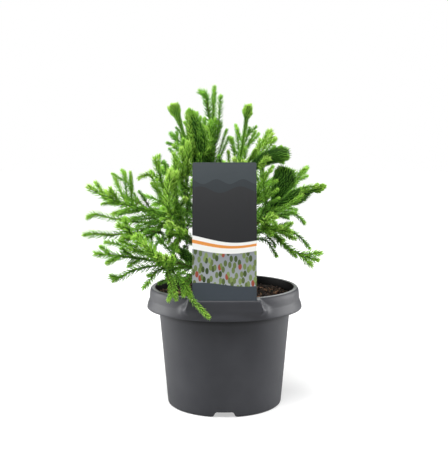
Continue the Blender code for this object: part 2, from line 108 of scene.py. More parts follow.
# Outline of the pot, from the middle of its underside round to the middle of its floor: radius, height.
POT_FOOT = ((0, 0), (30, 0), (59.4, 0), (61.2, 0.3), (62.4, 1.2), (62.9, 2.6), (63.1, 5))
POT_SIDE = (
    (66.0, 38), (69.0, 72), (71.9, 104), (72.5, 107.2), (73.4, 109.2), (74.9, 110.6), (75.6, 112.4),
)
POT_SKIRT = (
    (76.4, 119), (77.3, 126.2), (77.9, 127.4), (78.8, 127.4), (79.8, 126), (80.6, 119), (81.6, 113.5),
    (83.3, 108.2), (83.5, 107.4), (83.9, 107.0), (84.6, 107.0), (84.95, 107.4), (84.95, 108.4),
)
POT_COLLAR = (
    (84.7, 109.8), (84.3, 111.5), (83.8, 113), (83.2, 114.6), (82.7, 115.8), (82.4, 116.6), (82.2, 117.2),
    (82.2, 118.0), (82.15, 118.8), (82.1, 119.6), (82.1, 120.4), (82.0, 121.4), (81.95, 122.6),
    (81.85, 123.8), (81.7, 125.0), (81.5, 126.1), (81.2, 127.1), (80.8, 127.9), (80.3, 128.6), (79.6, 129.2),
    (78.6, 129.5), (77.0, 129.5), (76.2, 129.1), (75.8, 128.2),
)
POT_INSIDE = (
    (75.4, 122), (74.3, 113.2), (73.7, 111.4), (72.2, 109.8), (71.3, 108), (70.7, 104), (61.7, 5),
    (61.2, 3), (59.4, 1.5), (30, 1.5), (0, 1.5),
)

# Compost
SOIL_TOP = 121.0
SOIL_DIP = 1.6
SOIL_EDGE = 74.4
CHIP_COUNT = 1500
CHIP_EDGE_GAP = 3.4
CHIP_HALF_SIZES = ((1.2, 3.6), (0.9, 1.9), (0.4, 0.9))
CHIP_CORNERS = (0.55, 1.0)
CHIP_TILT = 0.38
CHIP_LIFT = (-0.1, 1.6)
CHIP_SHARES = (0.5, 0.34, 0.16)
CHIP_BARKS = (
    ("bark_chip_black", "#0d0908", "#35261e", 1.4),
    ("bark_chip_brown", "#2e201a", "#684f40", 1.4),
    ("bark_chip_tan", "#634536", "#a87f62", 1.4),
)

# Card
CARD_WIDTH = 65.0
CARD_FOOT = 117.8
CARD_TOP = 267.0
CARD_THICKNESS = 0.6
CARD_PLANE = 82.3
CARD_BOW = 21.0
CARD_CORNER = 1.6

# Inks on the card's front, each over the ones before it: which side of a wavy line it covers, the line's
# height, swing and pitch, the turn at which the wave starts, and the ink.
FRONT_WAVES = (
    ("LESS_THAN", 27, 2.0, 90, 1.0, "#394047"),
    ("GREATER_THAN", 62, 4.0, 130, 2.9, "#dededb"),
    ("GREATER_THAN", 67.5, 4.3, 130, 2.8, "#d08740"),
    ("GREATER_THAN", 70.5, 4.6, 130, 2.7, "#dededb"),
    ("GREATER_THAN", 74, 5.0, 130, 2.6, "#1f2022"),
    ("GREATER_THAN", 122, 3.2, 41, 0.4, "#22282c"),
    ("GREATER_THAN", 130, 2.4, 27, 2.2, "#2d3438"),
)

# Trunk
TRUNK_LOW = (3.0, 2.0, 117.0)
TRUNK_FOOT = 121.3
TRUNK_TOP = (-13.0, 6.0, 262.0)
TRUNK_BELLY = 3.5
TRUNK_RADIUS = 4.6
TRUNK_TOP_RADIUS = 2.0
FLARE_RADIUS = 3.2
FLARE_HEIGHT = 9.0
BARK_RELIEF = 0.16
BARK_MAP_RADIUS = 3.0
RIDGES_ROUND = 2.2
RIDGES_PER_MM = 0.09
SWELLINGS_PER_MM = 0.11

# Boughs: what carries it, place along that, far end, rise of the middle, radius at its root, and the
# joined mesh that its needles are in.
BOUGH_TIP_RADIUS = 1.1
BOUGHS = {
    "bough_top_left": ("trunk", 0.61, (-38, 2, 276), 3, 2.0, "top_left"),
    "bough_top_right": ("trunk", 0.55, (17, 3, 268), -3, 2.1, "top_right"),
    "bough_right": ("trunk", 0.39, (55, -8, 216), -3, 2.3, "right"),
    "bough_right_low": ("trunk", 0.27, (45, -14, 198), 3, 2.2, "right"),
    "bough_left_high": ("trunk", 0.2, (-60, -8, 211), -6, 3.0, "left_high"),
    "bough_left": ("bough_left_high", 0.78, (-86, 6, 213), 2, 1.4, "left_high"),
    "bough_left_middle": ("bough_left_high", 0.7, (-80, 1, 199), 3, 1.4, "left_low"),
    "bough_left_front": ("trunk", 0.12, (-68, -48, 163), 4, 2.4, "left_low"),
    "bough_front_left": ("trunk", 0.06, (-40, -84, 147), 14, 2.2, "left_low"),
    "bough_back_left": ("trunk", 0.36, (-38, 44, 206), 2, 2.1, "back_left"),
    "bough_back": ("trunk", 0.20, (0, 52, 178), 3, 2.1, "back_right"),
    "bough_back_right": ("trunk", 0.31, (32, 42, 203), 2, 2.1, "back_right"),
}

# Meshes of bark: the limbs in each, how many sides a limb has, and how far apart its rings are.
BARK_TUBES = (("bark_trunk", ("trunk",), 28, 1.2), ("bark_boughs", tuple(BOUGHS), 16, 1.4))

# The colours of needles, from the darkest to the yellow-green of fresh tips, with their roughness.
NEEDLE_GREENS = (
    ("needle_darkest", "#132a0b", "#2f5817", 0.5),
    ("needle_dark", "#22430f", "#508524", 0.48),
    ("needle_green", "#38661a", "#6fa637", 0.46),
    ("needle_bright", "#487c1c", "#86bb3e", 0.44),
    ("needle_lime", "#62982b", "#99c64b", 0.42),
    ("needle_tip", "#7ea83a", "#aed060", 0.42),
)

# Growth. A length in reaches is a number of times the reach of the shoot's own needles.
# What a row's reach is multiplied by, and the turn from one needle to the next.
FULLNESS = 1.35
GOLDEN_ANGLE = 2.39996
# Needles stand closer where their reach is less, down to a reach, and crowd together at the tip.
USUAL_REACH = 4.6
LEAST_REACH = 2.4
LEAST_COUNT = 12
CROWDING = 1.5
CROWDED_REACHES = 1.4
# How far fresh growth and the closed tip go back, in reaches.
FRESH_REACHES = 2.2
CLOSED_REACHES = 0.4
# Lean from the shoot in degrees, and how much of it is lost in fresh growth and at the closed tip.
NEEDLE_LEAN = 62
FRESH_LEAN_LOSS = 8
CLOSED_LEAN_LOSS = 20
LEAN_SPREAD = 6
# Width of a needle, and what each millimetre of reach adds to it.
NEEDLE_WIDTH = 0.72
REACH_WIDTH = 0.11
# Radius of a stem at its root and at its end: what each millimetre of reach adds, and the least.
STEM_RADII = ((0.15, 0.25), (0.1, 0.2))
STEM_SIDES = 6
STEM_PITCH = 5
GREEN_STEM_LENGTH = 80
# Old needles are darker from a distance behind the tip, by how far they are behind that.
OLD_START = 24
OLD_LENGTH = 45
SHADE_SPREAD = 0.45
# Side shoots: the stretch of their carrier that they grow on, their angles from it in degrees, and the
# thickness up to which a mass is flat.
SIDE_SPAN = (0.16, 0.86)
SIDE_ANGLES = (34, 50)
FLAT_THICKNESS = 20
# Old inner needles on the boughs: where they start, their reach and tint, how close they stand, and the
# width, thickness, reach and tint of the side shoots among them.
INNER_START = 0.3
INNER_NEEDLES = (5.4, 1.2)
INNER_DENSITY = 2.8
INNER_SIDES = (40, 34, 4.6, 1.4)
# Crests: rings and sides of the flattened body, its depth under the needles' tips and the pitch of the
# needles in reaches, their lean in degrees, what the far edge loses of it, and where that edge starts.
CREST_RINGS = 22
CREST_SIDES = 20
CREST_DEPTH = 0.55
CREST_PITCH = 0.64
CREST_LEAN = 40
EDGE_LEAN_LOSS = 14
EDGE_START = 0.82

# A needle is a closed spike: where along it its middle is, how far along each corner is, and the triangles
# between its corners.
NEEDLE_MIDDLE = 0.52
NEEDLE_HEIGHTS = (0, 0, 0, NEEDLE_MIDDLE, NEEDLE_MIDDLE, NEEDLE_MIDDLE, 1)
NEEDLE_FACES = np.array(
    [(0, 2, 1), (0, 1, 4), (0, 4, 3), (1, 2, 5), (1, 5, 4), (2, 0, 3), (2, 3, 5), (3, 4, 6), (4, 5, 6),
     (5, 3, 6)]
)

# Share of its full width that a flattened shoot has, at shares of its length.
SWELLS = {
    "crest": ((0.0, 0.12), (0.12, 0.6), (0.35, 1.0), (0.6, 0.95), (0.82, 0.62), (0.94, 0.42), (1.0, 0.2)),
    "spoon": ((0.0, 0.15), (0.15, 0.5), (0.42, 1.0), (0.56, 0.9), (0.74, 0.4), (1.0, 0.3)),
    "wedge": ((0.0, 0.16), (0.3, 0.5), (0.6, 0.88), (0.85, 1.0), (0.95, 0.85), (1.0, 0.6)),
    "fan": ((0.0, 0.3), (0.5, 0.38), (0.76, 0.6), (0.92, 1.0), (0.98, 0.95), (1.0, 0.85)),
}

# Masses of foliage: limb, place along it, tip, rise of the middle, width, thickness, how it grows,
# reach of its needles from the stem, side shoots, tint from 0 dark to 5 yellow-green.
MASSES = {
    "leader_column": ("trunk", 1.0, (-11, 10, 348), 0, 24, 15, "cord", 3.0, 0, 2.2),
    "leader_hook": ("trunk", 0.97, (-26, 17, 345), 0, 12, 11, "none", 3.2, 0, 2.4),
    "crest_dark": ("bough_top_left", 0.55, (-36, -16, 321), 2, 26, 11, "crest", 3.0, 8, 0.9),
    "fan_top_left": ("bough_top_left", 1.0, (-56, 4, 327), 2, 15, 8, "fan", 2.2, 8, 2.0),
    "spray_top_left": ("bough_top_left", 0.86, (-60, 24, 297), -2, 15, 12, "cord", 3.2, 4, 1.4),
    "spray_beside_card": ("bough_top_left", 0.3, (-54, -18, 284), 3, 24, 14, "cord", 4.0, 4, 2.3),
    "fan_top_right": ("bough_top_right", 1.0, (26, 0, 326), 0, 11, 8, "fan", 2.2, 7, 2.0),
    "fan_right_of_leader": ("bough_top_right", 0.86, (24, 20, 304), 0, 26, 12, "cord", 3.2, 4, 2.0),
    "fan_light_right": ("bough_top_right", 0.74, (51, -4, 300), -3, 16, 11, "cord", 3.2, 2, 3.4),
    "comb_right": ("bough_top_right", 0.6, (67, -30, 275), 9, 18, 12, "wedge", 2.8, 11, 0.3),
    "spray_left_high": ("bough_left_high", 1.0, (-75, -14, 271), 2, 17, 14, "cord", 4.0, 4, 3.0),
    "spray_left_arch": ("bough_left_high", 0.8, (-68, 28, 266), 4, 13, 12, "cord", 2.6, 3, 1.0),
    "spray_left_short": ("bough_left_high", 0.93, (-91, -26, 249), 9, 10, 9, "none", 3.0, 0, 3.2),
    "spray_left_bright": ("bough_left_high", 0.7, (-57, -34, 258), 0, 17, 14, "cord", 4.6, 4, 3.4),
    "spray_left_centre": ("bough_left_high", 0.6, (-60, -38, 189), 4, 18, 16, "cord", 3.8, 5, 2.2),
    "fan_left_upright": ("bough_left", 0.93, (-114, 20, 256), -7, 25, 12, "cord", 3.2, 3, 2.7),
    "spray_left_long": ("bough_left", 1.0, (-149, 0, 239), -4, 19, 14, "cord", 4.8, 4, 3.3),
    "spray_left_middle": ("bough_left_middle", 0.8, (-148, -14, 206), 4, 12, 12, "none", 4.4, 0, 2.8),
    "spray_left_level": ("bough_left_middle", 1.0, (-158, 16, 185), 1, 12, 12, "none", 3.4, 0, 2.4),
    "spray_left_inner": ("bough_left_middle", 0.55, (-86, -24, 179), 4, 13, 12, "cord", 3.2, 4, 1.4),
    "crest_left_dark": ("bough_left_front", 0.35, (-55, -26, 178), 0, 13, 11, "crest", 2.6, 4, 0.7),
    "spray_left_front": ("bough_left_front", 0.95, (-109, -66, 204), 3, 19, 14, "cord", 6.0, 4, 2.7),
    "spray_left_behind": ("bough_left_front", 0.9, (-129, -26, 182), 1, 11, 11, "none", 2.8, 0, 2.0),
    "spray_left_low": ("bough_left_front", 1.0, (-135, -58, 173), 1, 16, 14, "cord", 5.0, 4, 2.3),
    "spray_left_lowest": ("bough_left_front", 0.85, (-119, -44, 145), 6, 12, 11, "none", 3.2, 0, 1.8),
    "spray_over_rim": ("bough_left_front", 0.75, (-84, -70, 138), 3, 12, 11, "none", 3.0, 0, 2.0),
    "spray_hanging": ("bough_left_front", 0.6, (-53, -92, 129), 9, 17, 12, "none", 3.0, 0, 2.4),
    "spray_on_card": ("bough_front_left", 1.0, (-14, -98, 112), 1, 9, 8, "none", 3.0, 0, 3.0),
    "fan_dark_right": ("bough_right", 0.9, (68, -15, 259), 0, 26, 12, "wedge", 2.8, 8, 0.6),
    "spray_right_long": ("bough_right", 1.0, (104, -38, 241), 2, 19, 12, "spoon", 3.0, 5, 1.3),
    "spray_right_back": ("bough_right", 0.93, (93, 30, 259), -2, 11, 11, "cord", 3.4, 4, 2.0),
    "spray_right_thin": ("bough_right", 0.72, (90, 18, 196), 6, 11, 11, "none", 2.6, 0, 2.0),
    "spray_right_inner": ("bough_right", 0.62, (45, -28, 263), 2, 15, 11, "none", 2.8, 0, 2.4),
    "spray_right_full": ("bough_right_low", 0.7, (70, -48, 194), 4, 20, 15, "cord", 4.0, 5, 2.6),
    "spray_right_low": ("bough_right_low", 1.0, (104, -30, 164), 1, 20, 14, "none", 3.8, 0, 2.4),
    "spray_right_lowest": ("bough_right_low", 0.82, (97, 34, 167), 4, 12, 11, "none", 2.6, 0, 2.0),
    "spray_right_hanging": ("bough_right_low", 0.6, (56, -28, 165), 2, 9, 9, "none", 2.6, 0, 1.8),
    "spray_back_left_high": ("bough_back_left", 1.0, (-60, 80, 258), 3, 32, 26, "cord", 4.6, 12, 2.6),
    "spray_back_left": ("bough_back_left", 0.75, (-78, 88, 214), 5, 32, 24, "cord", 4.6, 12, 2.4),
    "spray_back_high": ("bough_back", 0.8, (-6, 68, 262), -4, 34, 26, "cord", 4.6, 12, 2.6),
    "spray_back_low": ("bough_back", 1.0, (4, 114, 182), 6, 34, 26, "cord", 4.6, 13, 2.4),
    "spray_back_right_high": ("bough_back_right", 1.0, (48, 78, 250), 2, 32, 26, "cord", 4.6, 12, 2.6),
    "spray_back_right": ("bough_back_right", 0.75, (76, 82, 212), 5, 32, 24, "cord", 4.6, 12, 2.4),
    "spray_behind_card": ("trunk", 0.35, (8, -52, 246), 0, 26, 18, "cord", 4.2, 6, 2.2),
}

# Shoots that the photo shows one by one, by what carries them: reach of their needles, tint, and the
# points that they pass through.
SHOOTS = {
    "leader_column": (
        (4.3, 1.9, (-18, 0, 261), (-20, 2, 278), (-21, 4, 298), (-22, 5, 313)),
        (4.3, 2.0, (-12, 0, 261), (-11, 2, 278), (-10, 3, 296), (-9, 2, 312)),
        (4.2, 1.5, (-15, -5, 266), (-16, -5, 287), (-15, -3, 310)),
        (3.3, 1.8, (-14, 7, 295), (-13, 9, 313), (-12, 10, 330), (-11, 10, 343)),
        (3.0, 3.4, (-20, -6, 278), (-23, -8, 291), (-25, -8, 307)),
        (3.5, 1.9, (-9, 2, 289), (-6, 1, 309), (-5, 0, 324), (-4, 0, 337)),
        (2.4, 1.9, (-11, 2, 261), (-5, 2, 277), (-1, 2, 291), (3, 2, 301)),
        (2.4, 1.9, (-9, 0, 257), (-4, 0, 272), (1, 0, 284), (5, 0, 293)),
        (2.2, 2.0, (-9, 6, 287), (-6, 7, 297), (-3, 8, 308)),
    ),
    "leader_hook": (
        (4.8, 1.7, (-16, 12, 311), (-18, 13, 326), (-20, 14, 336), (-24, 15, 342), (-28, 15, 341)),
        (4.0, 1.2, (-17, 10, 317), (-19, 11, 328), (-21, 12, 337), (-25, 13, 341)),
    ),
    "crest_dark": (
        (3.2, 3.8, (-33, -14, 277), (-37, -16, 298), (-40, -16, 319)),
        (2.5, 2.8, (-26, -12, 291), (-29, -12, 306), (-33, -12, 319)),
        (2.6, 3.2, (-18, -12, 276), (-16, -10, 289), (-20, -8, 304)),
    ),
    "fan_top_left": (
        (1.9, 1.3, (-41, 6, 289), (-53, 8, 303)),
        (1.9, 1.2, (-42, 8, 281), (-58, 14, 296)),
    ),
    "spray_top_left": (
        (2.0, 1.3, (-41, 6, 276), (-53, 2, 287)),
        (2.2, 1.4, (-47, 10, 267), (-61, 10, 280)),
    ),
    "spray_beside_card": (
        (4.2, 3.3, (-39, -20, 255), (-38, -22, 274), (-39, -22, 288)),
        (4.0, 3.5, (-45, -20, 249), (-44, -24, 266), (-45, -26, 281)),
        (4.0, 3.2, (-51, -18, 247), (-52, -20, 262), (-54, -20, 276)),
        (3.8, 2.8, (-40, -10, 236), (-48, -14, 251), (-49, -16, 268)),
    ),
    "fan_right_of_leader": (
        (3.1, 2.0, (17, 14, 269), (15, 18, 286), (14, 20, 302)),
        (3.0, 2.2, (13, 8, 267), (9, 10, 283), (8, 10, 292)),
        (2.2, 1.4, (18, 14, 276), (24, 16, 290), (28, 18, 303)),
        (2.7, 2.3, (19, 8, 272), (28, 6, 288), (34, 6, 299)),
        (3.0, 2.6, (21, 4, 267), (23, 2, 281)),
        (2.8, 3.2, (6, 4, 263), (4, 2, 278)),
    ),
    "fan_light_right": (
        (3.4, 3.7, (32, -4, 270), (40, -4, 284), (48, -4, 300)),
        (3.4, 3.7, (34, -8, 270), (45, -10, 284), (52, -10, 296)),
        (2.9, 3.2, (36, -10, 268), (47, -12, 281), (55, -14, 291)),
        (3.2, 3.4, (30, -2, 268), (35, 0, 279), (39, 2, 290)),
    ),
    "comb_right": ((3.4, 3.7, (39, -30, 262), (43, -34, 269), (48, -36, 270)),),
    "spray_behind_card": (
        (3.2, 4.2, (13, -50, 261), (9, -52, 271)),
        (3.0, 4.0, (21, -50, 261), (19, -50, 269)),
        (3.4, 3.0, (4, -46, 257), (2, -44, 266)),
    ),
    "fan_dark_right": ((3.7, 2.3, (73, -12, 239), (80, -10, 252), (88, -8, 259)),),
    "spray_right_long": (
        (3.0, 2.8, (51, -24, 213), (63, -32, 218), (73, -38, 225), (82, -38, 233)),
        (3.0, 3.0, (82, -40, 239), (90, -40, 241), (99, -40, 242)),
        (2.4, 1.2, (44, -20, 211), (57, -22, 209), (69, -24, 206)),
    ),
    "spray_right_thin": ((3.3, 2.2, (56, 0, 212), (72, 8, 210), (82, 14, 205), (90, 18, 196)),),
    "spray_right_full": (
        (3.8, 3.5, (41, -40, 204), (47, -46, 208), (54, -50, 210)),
        (3.6, 2.9, (42, -36, 195), (51, -42, 196), (60, -46, 199)),
        (3.6, 2.6, (50, -36, 197), (62, -38, 193), (71, -40, 187)),
        (3.4, 2.2, (40, -30, 199), (45, -44, 194), (49, -52, 191)),
        (2.3, 1.2, (45, -30, 188), (51, -32, 183), (54, -32, 176)),
    ),
    "spray_right_hanging": ((3.0, 1.6, (44, -26, 183), (51, -28, 174), (56, -28, 165)),),
    "spray_right_low": (
        (4.7, 2.6, (66, -30, 177), (80, -32, 169), (92, -32, 169), (103, -32, 170)),
        (4.2, 2.7, (80, -32, 169), (87, -34, 162), (93, -36, 157)),
        (3.0, 1.9, (57, -32, 184), (67, -34, 175), (76, -34, 166)),
        (3.3, 3.0, (87, -32, 167), (94, -30, 163), (101, -30, 162)),
    ),
    "spray_right_lowest": ((3.2, 2.0, (61, 10, 194), (78, 24, 185), (89, 30, 176), (97, 34, 166)),),
    "spray_right_inner": (
        (2.3, 2.3, (44, -20, 220), (42, -26, 237), (41, -28, 252), (40, -28, 261)),
        (2.2, 2.6, (43, -26, 232), (50, -28, 243), (56, -30, 247)),
        (2.3, 2.8, (43, -26, 227), (51, -30, 233), (57, -32, 238)),
        (2.1, 3.1, (42, -28, 246), (46, -28, 255), (50, -28, 258)),
        (2.1, 2.0, (44, -20, 222), (51, -30, 224), (58, -34, 229)),
    ),
    "spray_left_short": ((3.3, 3.4, (-78, -16, 250), (-83, -22, 252), (-89, -24, 251), (-91, -26, 248)),),
    "spray_left_arch": (
        (2.8, 0.8, (-67, 22, 234), (-71, 26, 249), (-74, 28, 260), (-69, 28, 264), (-63, 28, 259)),
    ),
    "spray_left_bright": (
        (5.2, 3.7, (-56, -30, 211), (-59, -34, 227), (-58, -36, 243), (-56, -36, 255)),
        (3.2, 1.8, (-51, -22, 213), (-52, -24, 234), (-50, -24, 249)),
    ),
    "spray_left_high": ((3.0, 2.6, (-64, -10, 219), (-71, -14, 234), (-72, -16, 247)),),
    "fan_left_upright": (
        (4.1, 2.9, (-106, 8, 219), (-116, 16, 234), (-122, 20, 248)),
        (2.7, 1.7, (-104, 8, 216), (-109, 16, 234), (-111, 20, 254)),
        (2.5, 1.1, (-101, 6, 216), (-103, 12, 233), (-104, 14, 250)),
        (2.0, 2.2, (-112, 4, 220), (-121, 2, 229), (-125, 0, 235)),
    ),
    "spray_left_long": (
        (2.7, 2.3, (-121, -4, 221), (-128, -8, 221), (-133, -10, 220)),
        (3.0, 1.7, (-96, -4, 214), (-107, -10, 212), (-115, -12, 209)),
        (3.6, 2.8, (-110, 4, 218), (-124, 8, 221), (-134, 8, 227)),
    ),
    "bough_left_high": (
        (3.2, 1.9, (-72, -6, 208), (-85, -10, 208), (-100, -14, 205)),
        (3.0, 1.6, (-70, -10, 203), (-82, -14, 200), (-96, -16, 196)),
        (3.2, 0.8, (-38, 0, 200), (-45, 6, 209), (-52, 10, 214)),
        (3.2, 1.3, (-40, -6, 192), (-54, -10, 190), (-69, -14, 178)),
        (3.2, 2.5, (-44, -16, 199), (-56, -24, 202), (-68, -28, 206)),
    ),
    "bough_left": ((3.0, 2.2, (-79, 0, 213), (-93, 2, 212), (-107, 2, 210)),),
    "spray_left_middle": (
        (4.4, 2.7, (-97, -8, 201), (-121, -12, 205), (-136, -14, 209), (-143, -14, 209), (-148, -14, 205)),
    ),
    "spray_left_level": ((5.2, 2.3, (-91, 8, 189), (-125, 14, 184), (-143, 16, 185), (-157, 16, 184)),),
    "spray_left_front": (
        (4.4, 2.8, (-74, -70, 173), (-82, -76, 184), (-92, -78, 193)),
        (4.4, 2.9, (-66, -70, 166), (-73, -78, 177), (-82, -82, 187)),
        (3.6, 2.4, (-91, -62, 181), (-101, -60, 184), (-109, -58, 187)),
    ),
    "spray_left_behind": ((3.8, 2.2, (-109, -26, 177), (-120, -26, 180), (-128, -26, 181)),),
    "spray_left_low": ((2.5, 2.1, (-108, -56, 169), (-118, -54, 165)),),
    "spray_left_lowest": (
        (4.5, 2.0, (-94, -44, 154), (-110, -44, 146), (-121, -44, 147)),
        (3.2, 2.2, (-110, -44, 146), (-118, -46, 142)),
    ),
    "spray_over_rim": (
        (3.8, 2.2, (-70, -60, 155), (-76, -66, 147), (-83, -70, 139)),
        (2.4, 2.0, (-74, -62, 151), (-80, -62, 151)),
    ),
    "bough_left_front": (
        (4.8, 3.3, (-66, -54, 163), (-66, -74, 171), (-66, -86, 175)),
        (4.8, 3.5, (-61, -50, 160), (-59, -72, 167), (-58, -88, 173)),
        (4.0, 2.6, (-57, -44, 156), (-55, -64, 165), (-53, -76, 172)),
        (2.8, 0.8, (-42, -10, 183), (-52, -14, 181), (-61, -16, 173)),
        (1.6, 0.4, (-44, -10, 175), (-41, -8, 163), (-39, -8, 152)),
    ),
    "spray_hanging": (
        (3.2, 2.6, (-58, -72, 156), (-54, -86, 147), (-53, -92, 138), (-56, -94, 130)),
        (2.9, 2.8, (-56, -72, 156), (-51, -86, 146), (-49, -92, 138), (-48, -94, 131)),
        (3.0, 2.2, (-54, -66, 157), (-45, -78, 148), (-41, -86, 141), (-41, -90, 134)),
    ),
    "bough_front_left": ((2.7, 2.4, (-48, -62, 154), (-40, -74, 145), (-36, -86, 139), (-34, -90, 133)),),
    "spray_on_card": ((3.0, 3.1, (-34, -90, 134), (-27, -94, 126), (-21, -96, 120), (-15, -97, 114)),),
    "bough_top_left": (
        (3.4, 0.7, (-38, 0, 211), (-42, 8, 228), (-49, 12, 244)),
        (3.2, 0.5, (-37, 4, 217), (-41, 10, 234), (-42, 12, 249)),
    ),
    "spray_left_centre": (
        (3.4, 3.8, (-54, -44, 199), (-58, -56, 205)),
        (3.4, 3.2, (-45, -40, 192), (-48, -52, 198)),
        (3.2, 2.4, (-47, -36, 187), (-51, -44, 179), (-48, -48, 173)),
    ),
    "spray_left_inner": (
        (3.0, 1.2, (-69, -20, 191), (-80, -24, 192), (-90, -26, 185)),
        (2.8, 1.4, (-65, -20, 187), (-73, -24, 179), (-75, -26, 172)),
    ),
    "crest_left_dark": ((2.6, 1.0, (-50, -24, 159), (-54, -26, 168), (-56, -28, 176)),),
}


def linear(code):
    """An sRGB hex colour as linear red, green, blue and alpha."""
    parts = [int(code[at : at + 2], 16) / 255 for at in (1, 3, 5)]
    return (*(part / 12.92 if part <= 0.04045 else ((part + 0.055) / 1.055) ** 2.4 for part in parts), 1.0)


def feed(tree, node, inputs):
    """Fills a node's inputs. Each takes a value, a socket, or a node for its first live output."""
    for name, value in inputs.items():
        if isinstance(value, bpy.types.Node):
            value = next(socket for socket in value.outputs if socket.enabled)
        if isinstance(value, bpy.types.NodeSocket):
            tree.links.new(value, node.inputs[name])
        else:
            node.inputs[name].default_value = value


def add_node(tree, kind, inputs, **settings):
    """Adds a shader node with its settings and links."""
    made = tree.nodes.new("ShaderNode" + kind)
    for name, value in settings.items():
        setattr(made, name, value)
    feed(tree, made, inputs)
    return made


def new_finish(name, inputs):
    """A Principled material with its constant values. Gives its tree and shader, and the two coordinates that
    finishes read: the object's own, and the piece's map."""
    made = bpy.data.materials.new(name)
    made.use_nodes = True
    tree = made.node_tree
    shader = tree.nodes["Principled BSDF"]
    feed(tree, shader, inputs)
    places = add_node(tree, "TexCoord", {}).outputs
    return made, tree, shader, places["Object"], places["UV"]


def mottled(tree, place, grain, detail, span, dark, pale):
    """A noise with a grain in millimetres, and the colour that a span of it takes from dark to pale."""
    cloud = add_node(tree, "TexNoise", {"Vector": place, "Scale": 1 / (grain * MM), "Detail": detail})
    tone = add_node(tree, "MapRange", {"Value": cloud, "From Min": span[0], "From Max": span[1]})
    return cloud, add_node(tree, "Mix", {0: tone, 6: linear(dark), 7: linear(pale)}, data_type="RGBA")


def moulded_polypropylene(name, dark, pale, lip_highlight, gloss):
    """Injection-moulded grey polypropylene: a fine matt skin with a dull shine, uneven in tone in patches of
    about 45 mm.
    The top of its lip is painted paler as a highlight, and the wall just under the collar is painted dark as
    shade."""
    made, tree, shader, place, _ = new_finish(name, {"IOR": 1.49, "Specular IOR Level": gloss})
    skin = mottled(tree, place, 45, 3.0, (0.3, 0.7), dark, pale)[1]
    height = add_node(tree, "SeparateXYZ", {0: place}).outputs["Z"]
    # The top of the lip is painted paler: a painted highlight.
    low, high = LIP_HIGHLIGHT_HEIGHTS
    lip = add_node(tree, "MapRange", {"Value": height, "From Min": low * MM, "From Max": high * MM})
    colour = add_node(tree, "Mix", {0: lip, 6: skin, 7: linear(lip_highlight)}, data_type="RGBA")
    level = add_node(tree, "VectorMath", {0: place, 1: (1, 1, 0)}, operation="MULTIPLY")
    radius = add_node(tree, "VectorMath", {0: level}, operation="LENGTH")
    # The wall just under the overhanging collar is painted dark: painted shade.
    wall = add_node(tree, "Math", {0: radius, 1: UNDER_COLLAR_RADIUS * MM}, operation="LESS_THAN")
    low, high = COLLAR_SHADE_HEIGHTS
    rise = {"Value": height, "From Min": low * MM, "From Max": high * MM, "To Max": 0.85}
    under = add_node(tree, "MapRange", rise, interpolation_type="SMOOTHSTEP")
    painted_shade = add_node(tree, "Math", {0: wall, 1: under}, operation="MULTIPLY")
    shaded_colour = add_node(tree, "Mix", {0: painted_shade, 6: colour, 7: linear("#09090a")}, data_type="RGBA")
    # The grain of the mould is about 0.2 mm and is drawn at 0.9 mm so that it shows.
    grain = add_node(tree, "TexNoise", {"Vector": place, "Scale": 1 / (0.9 * MM), "Detail": 2.0})
    dullness = add_node(tree, "MapRange", {"Value": grain, "To Min": 0.42, "To Max": 0.56})
    relief = add_node(tree, "Bump", {"Height": grain, "Distance": 0.05 * MM, "Strength": 0.5})
    feed(tree, shader, {"Base Color": shaded_colour, "Roughness": dullness, "Normal": relief})
    return made


def bark_compost(name, dark, pale, grit):
    """Composted bark: damp, dull and fibrous, uneven in tone from piece to piece."""
    made, tree, shader, place, _ = new_finish(name, {"Roughness": 0.78, "Specular IOR Level": 0.35})
    crumbs, colour = mottled(tree, place, grit, 5.0, (0.32, 0.7), dark, pale)
    relief = add_node(tree, "Bump", {"Height": crumbs, "Distance": 0.5 * MM})
    feed(tree, shader, {"Base Color": colour, "Normal": relief})
    return made


def stringy_bark(name, dark, pale, ridge):
    """Young conifer bark: dull red-brown with pale strings that run along the limb."""
    made, tree, shader, _, mapped = new_finish(name, {"Roughness": 0.8, "Specular IOR Level": 0.3})
    # The map runs round the limb and along it, both in metres, so the strings follow each limb.
    drawn = add_node(tree, "Mapping", {"Vector": mapped, "Scale": (1.0, 0.16, 1.0)})
    strings, colour = mottled(tree, drawn, ridge, 4.0, (0.32, 0.68), dark, pale)
    relief = add_node(tree, "Bump", {"Height": strings, "Distance": 0.35 * MM})
    feed(tree, shader, {"Base Color": colour, "Normal": relief})
    return made


def living_green(name, deep, fresh, roughness):
    """A waxy living needle or shoot: deep green at its foot and paler to its tip, uneven in patches of about
    7 mm, with a soft shine."""
    inputs = {"Roughness": roughness, "Specular IOR Level": 0.2, "IOR": 1.4}
    made, tree, shader, place, mapped = new_finish(name, inputs)
    patches = add_node(tree, "TexNoise", {"Vector": place, "Scale": 1 / (7 * MM), "Detail": 2.0})
    to_tip = add_node(tree, "SeparateXYZ", {0: mapped}).outputs["Y"]
    paler = add_node(tree, "Math", {0: to_tip, 1: 0.95, 2: patches}, operation="MULTIPLY_ADD", use_clamp=True)
    tone = add_node(tree, "MapRange", {"Value": paler, "From Min": 0.4, "From Max": 1.0})
    colour = add_node(tree, "Mix", {0: tone, 6: linear(deep), 7: linear(fresh)}, data_type="RGBA")
    feed(tree, shader, {"Base Color": colour})
    return made


def printed_card(name, design):
    """Printed plastic sheet: smooth flat inks under a thin gloss that is uneven in patches of about 6 mm."""
    made, tree, shader, place, mapped = new_finish(name, {"Specular IOR Level": 0.3, "IOR": 1.5})
    film = add_node(tree, "TexNoise", {"Vector": place, "Scale": 1 / (6 * MM), "Detail": 3.0})
    dullness = add_node(tree, "MapRange", {"Value": film, "To Min": 0.5, "To Max": 0.62})
    feed(tree, shader, {"Base Color": design(tree, mapped), "Roughness": dullness})
    return made


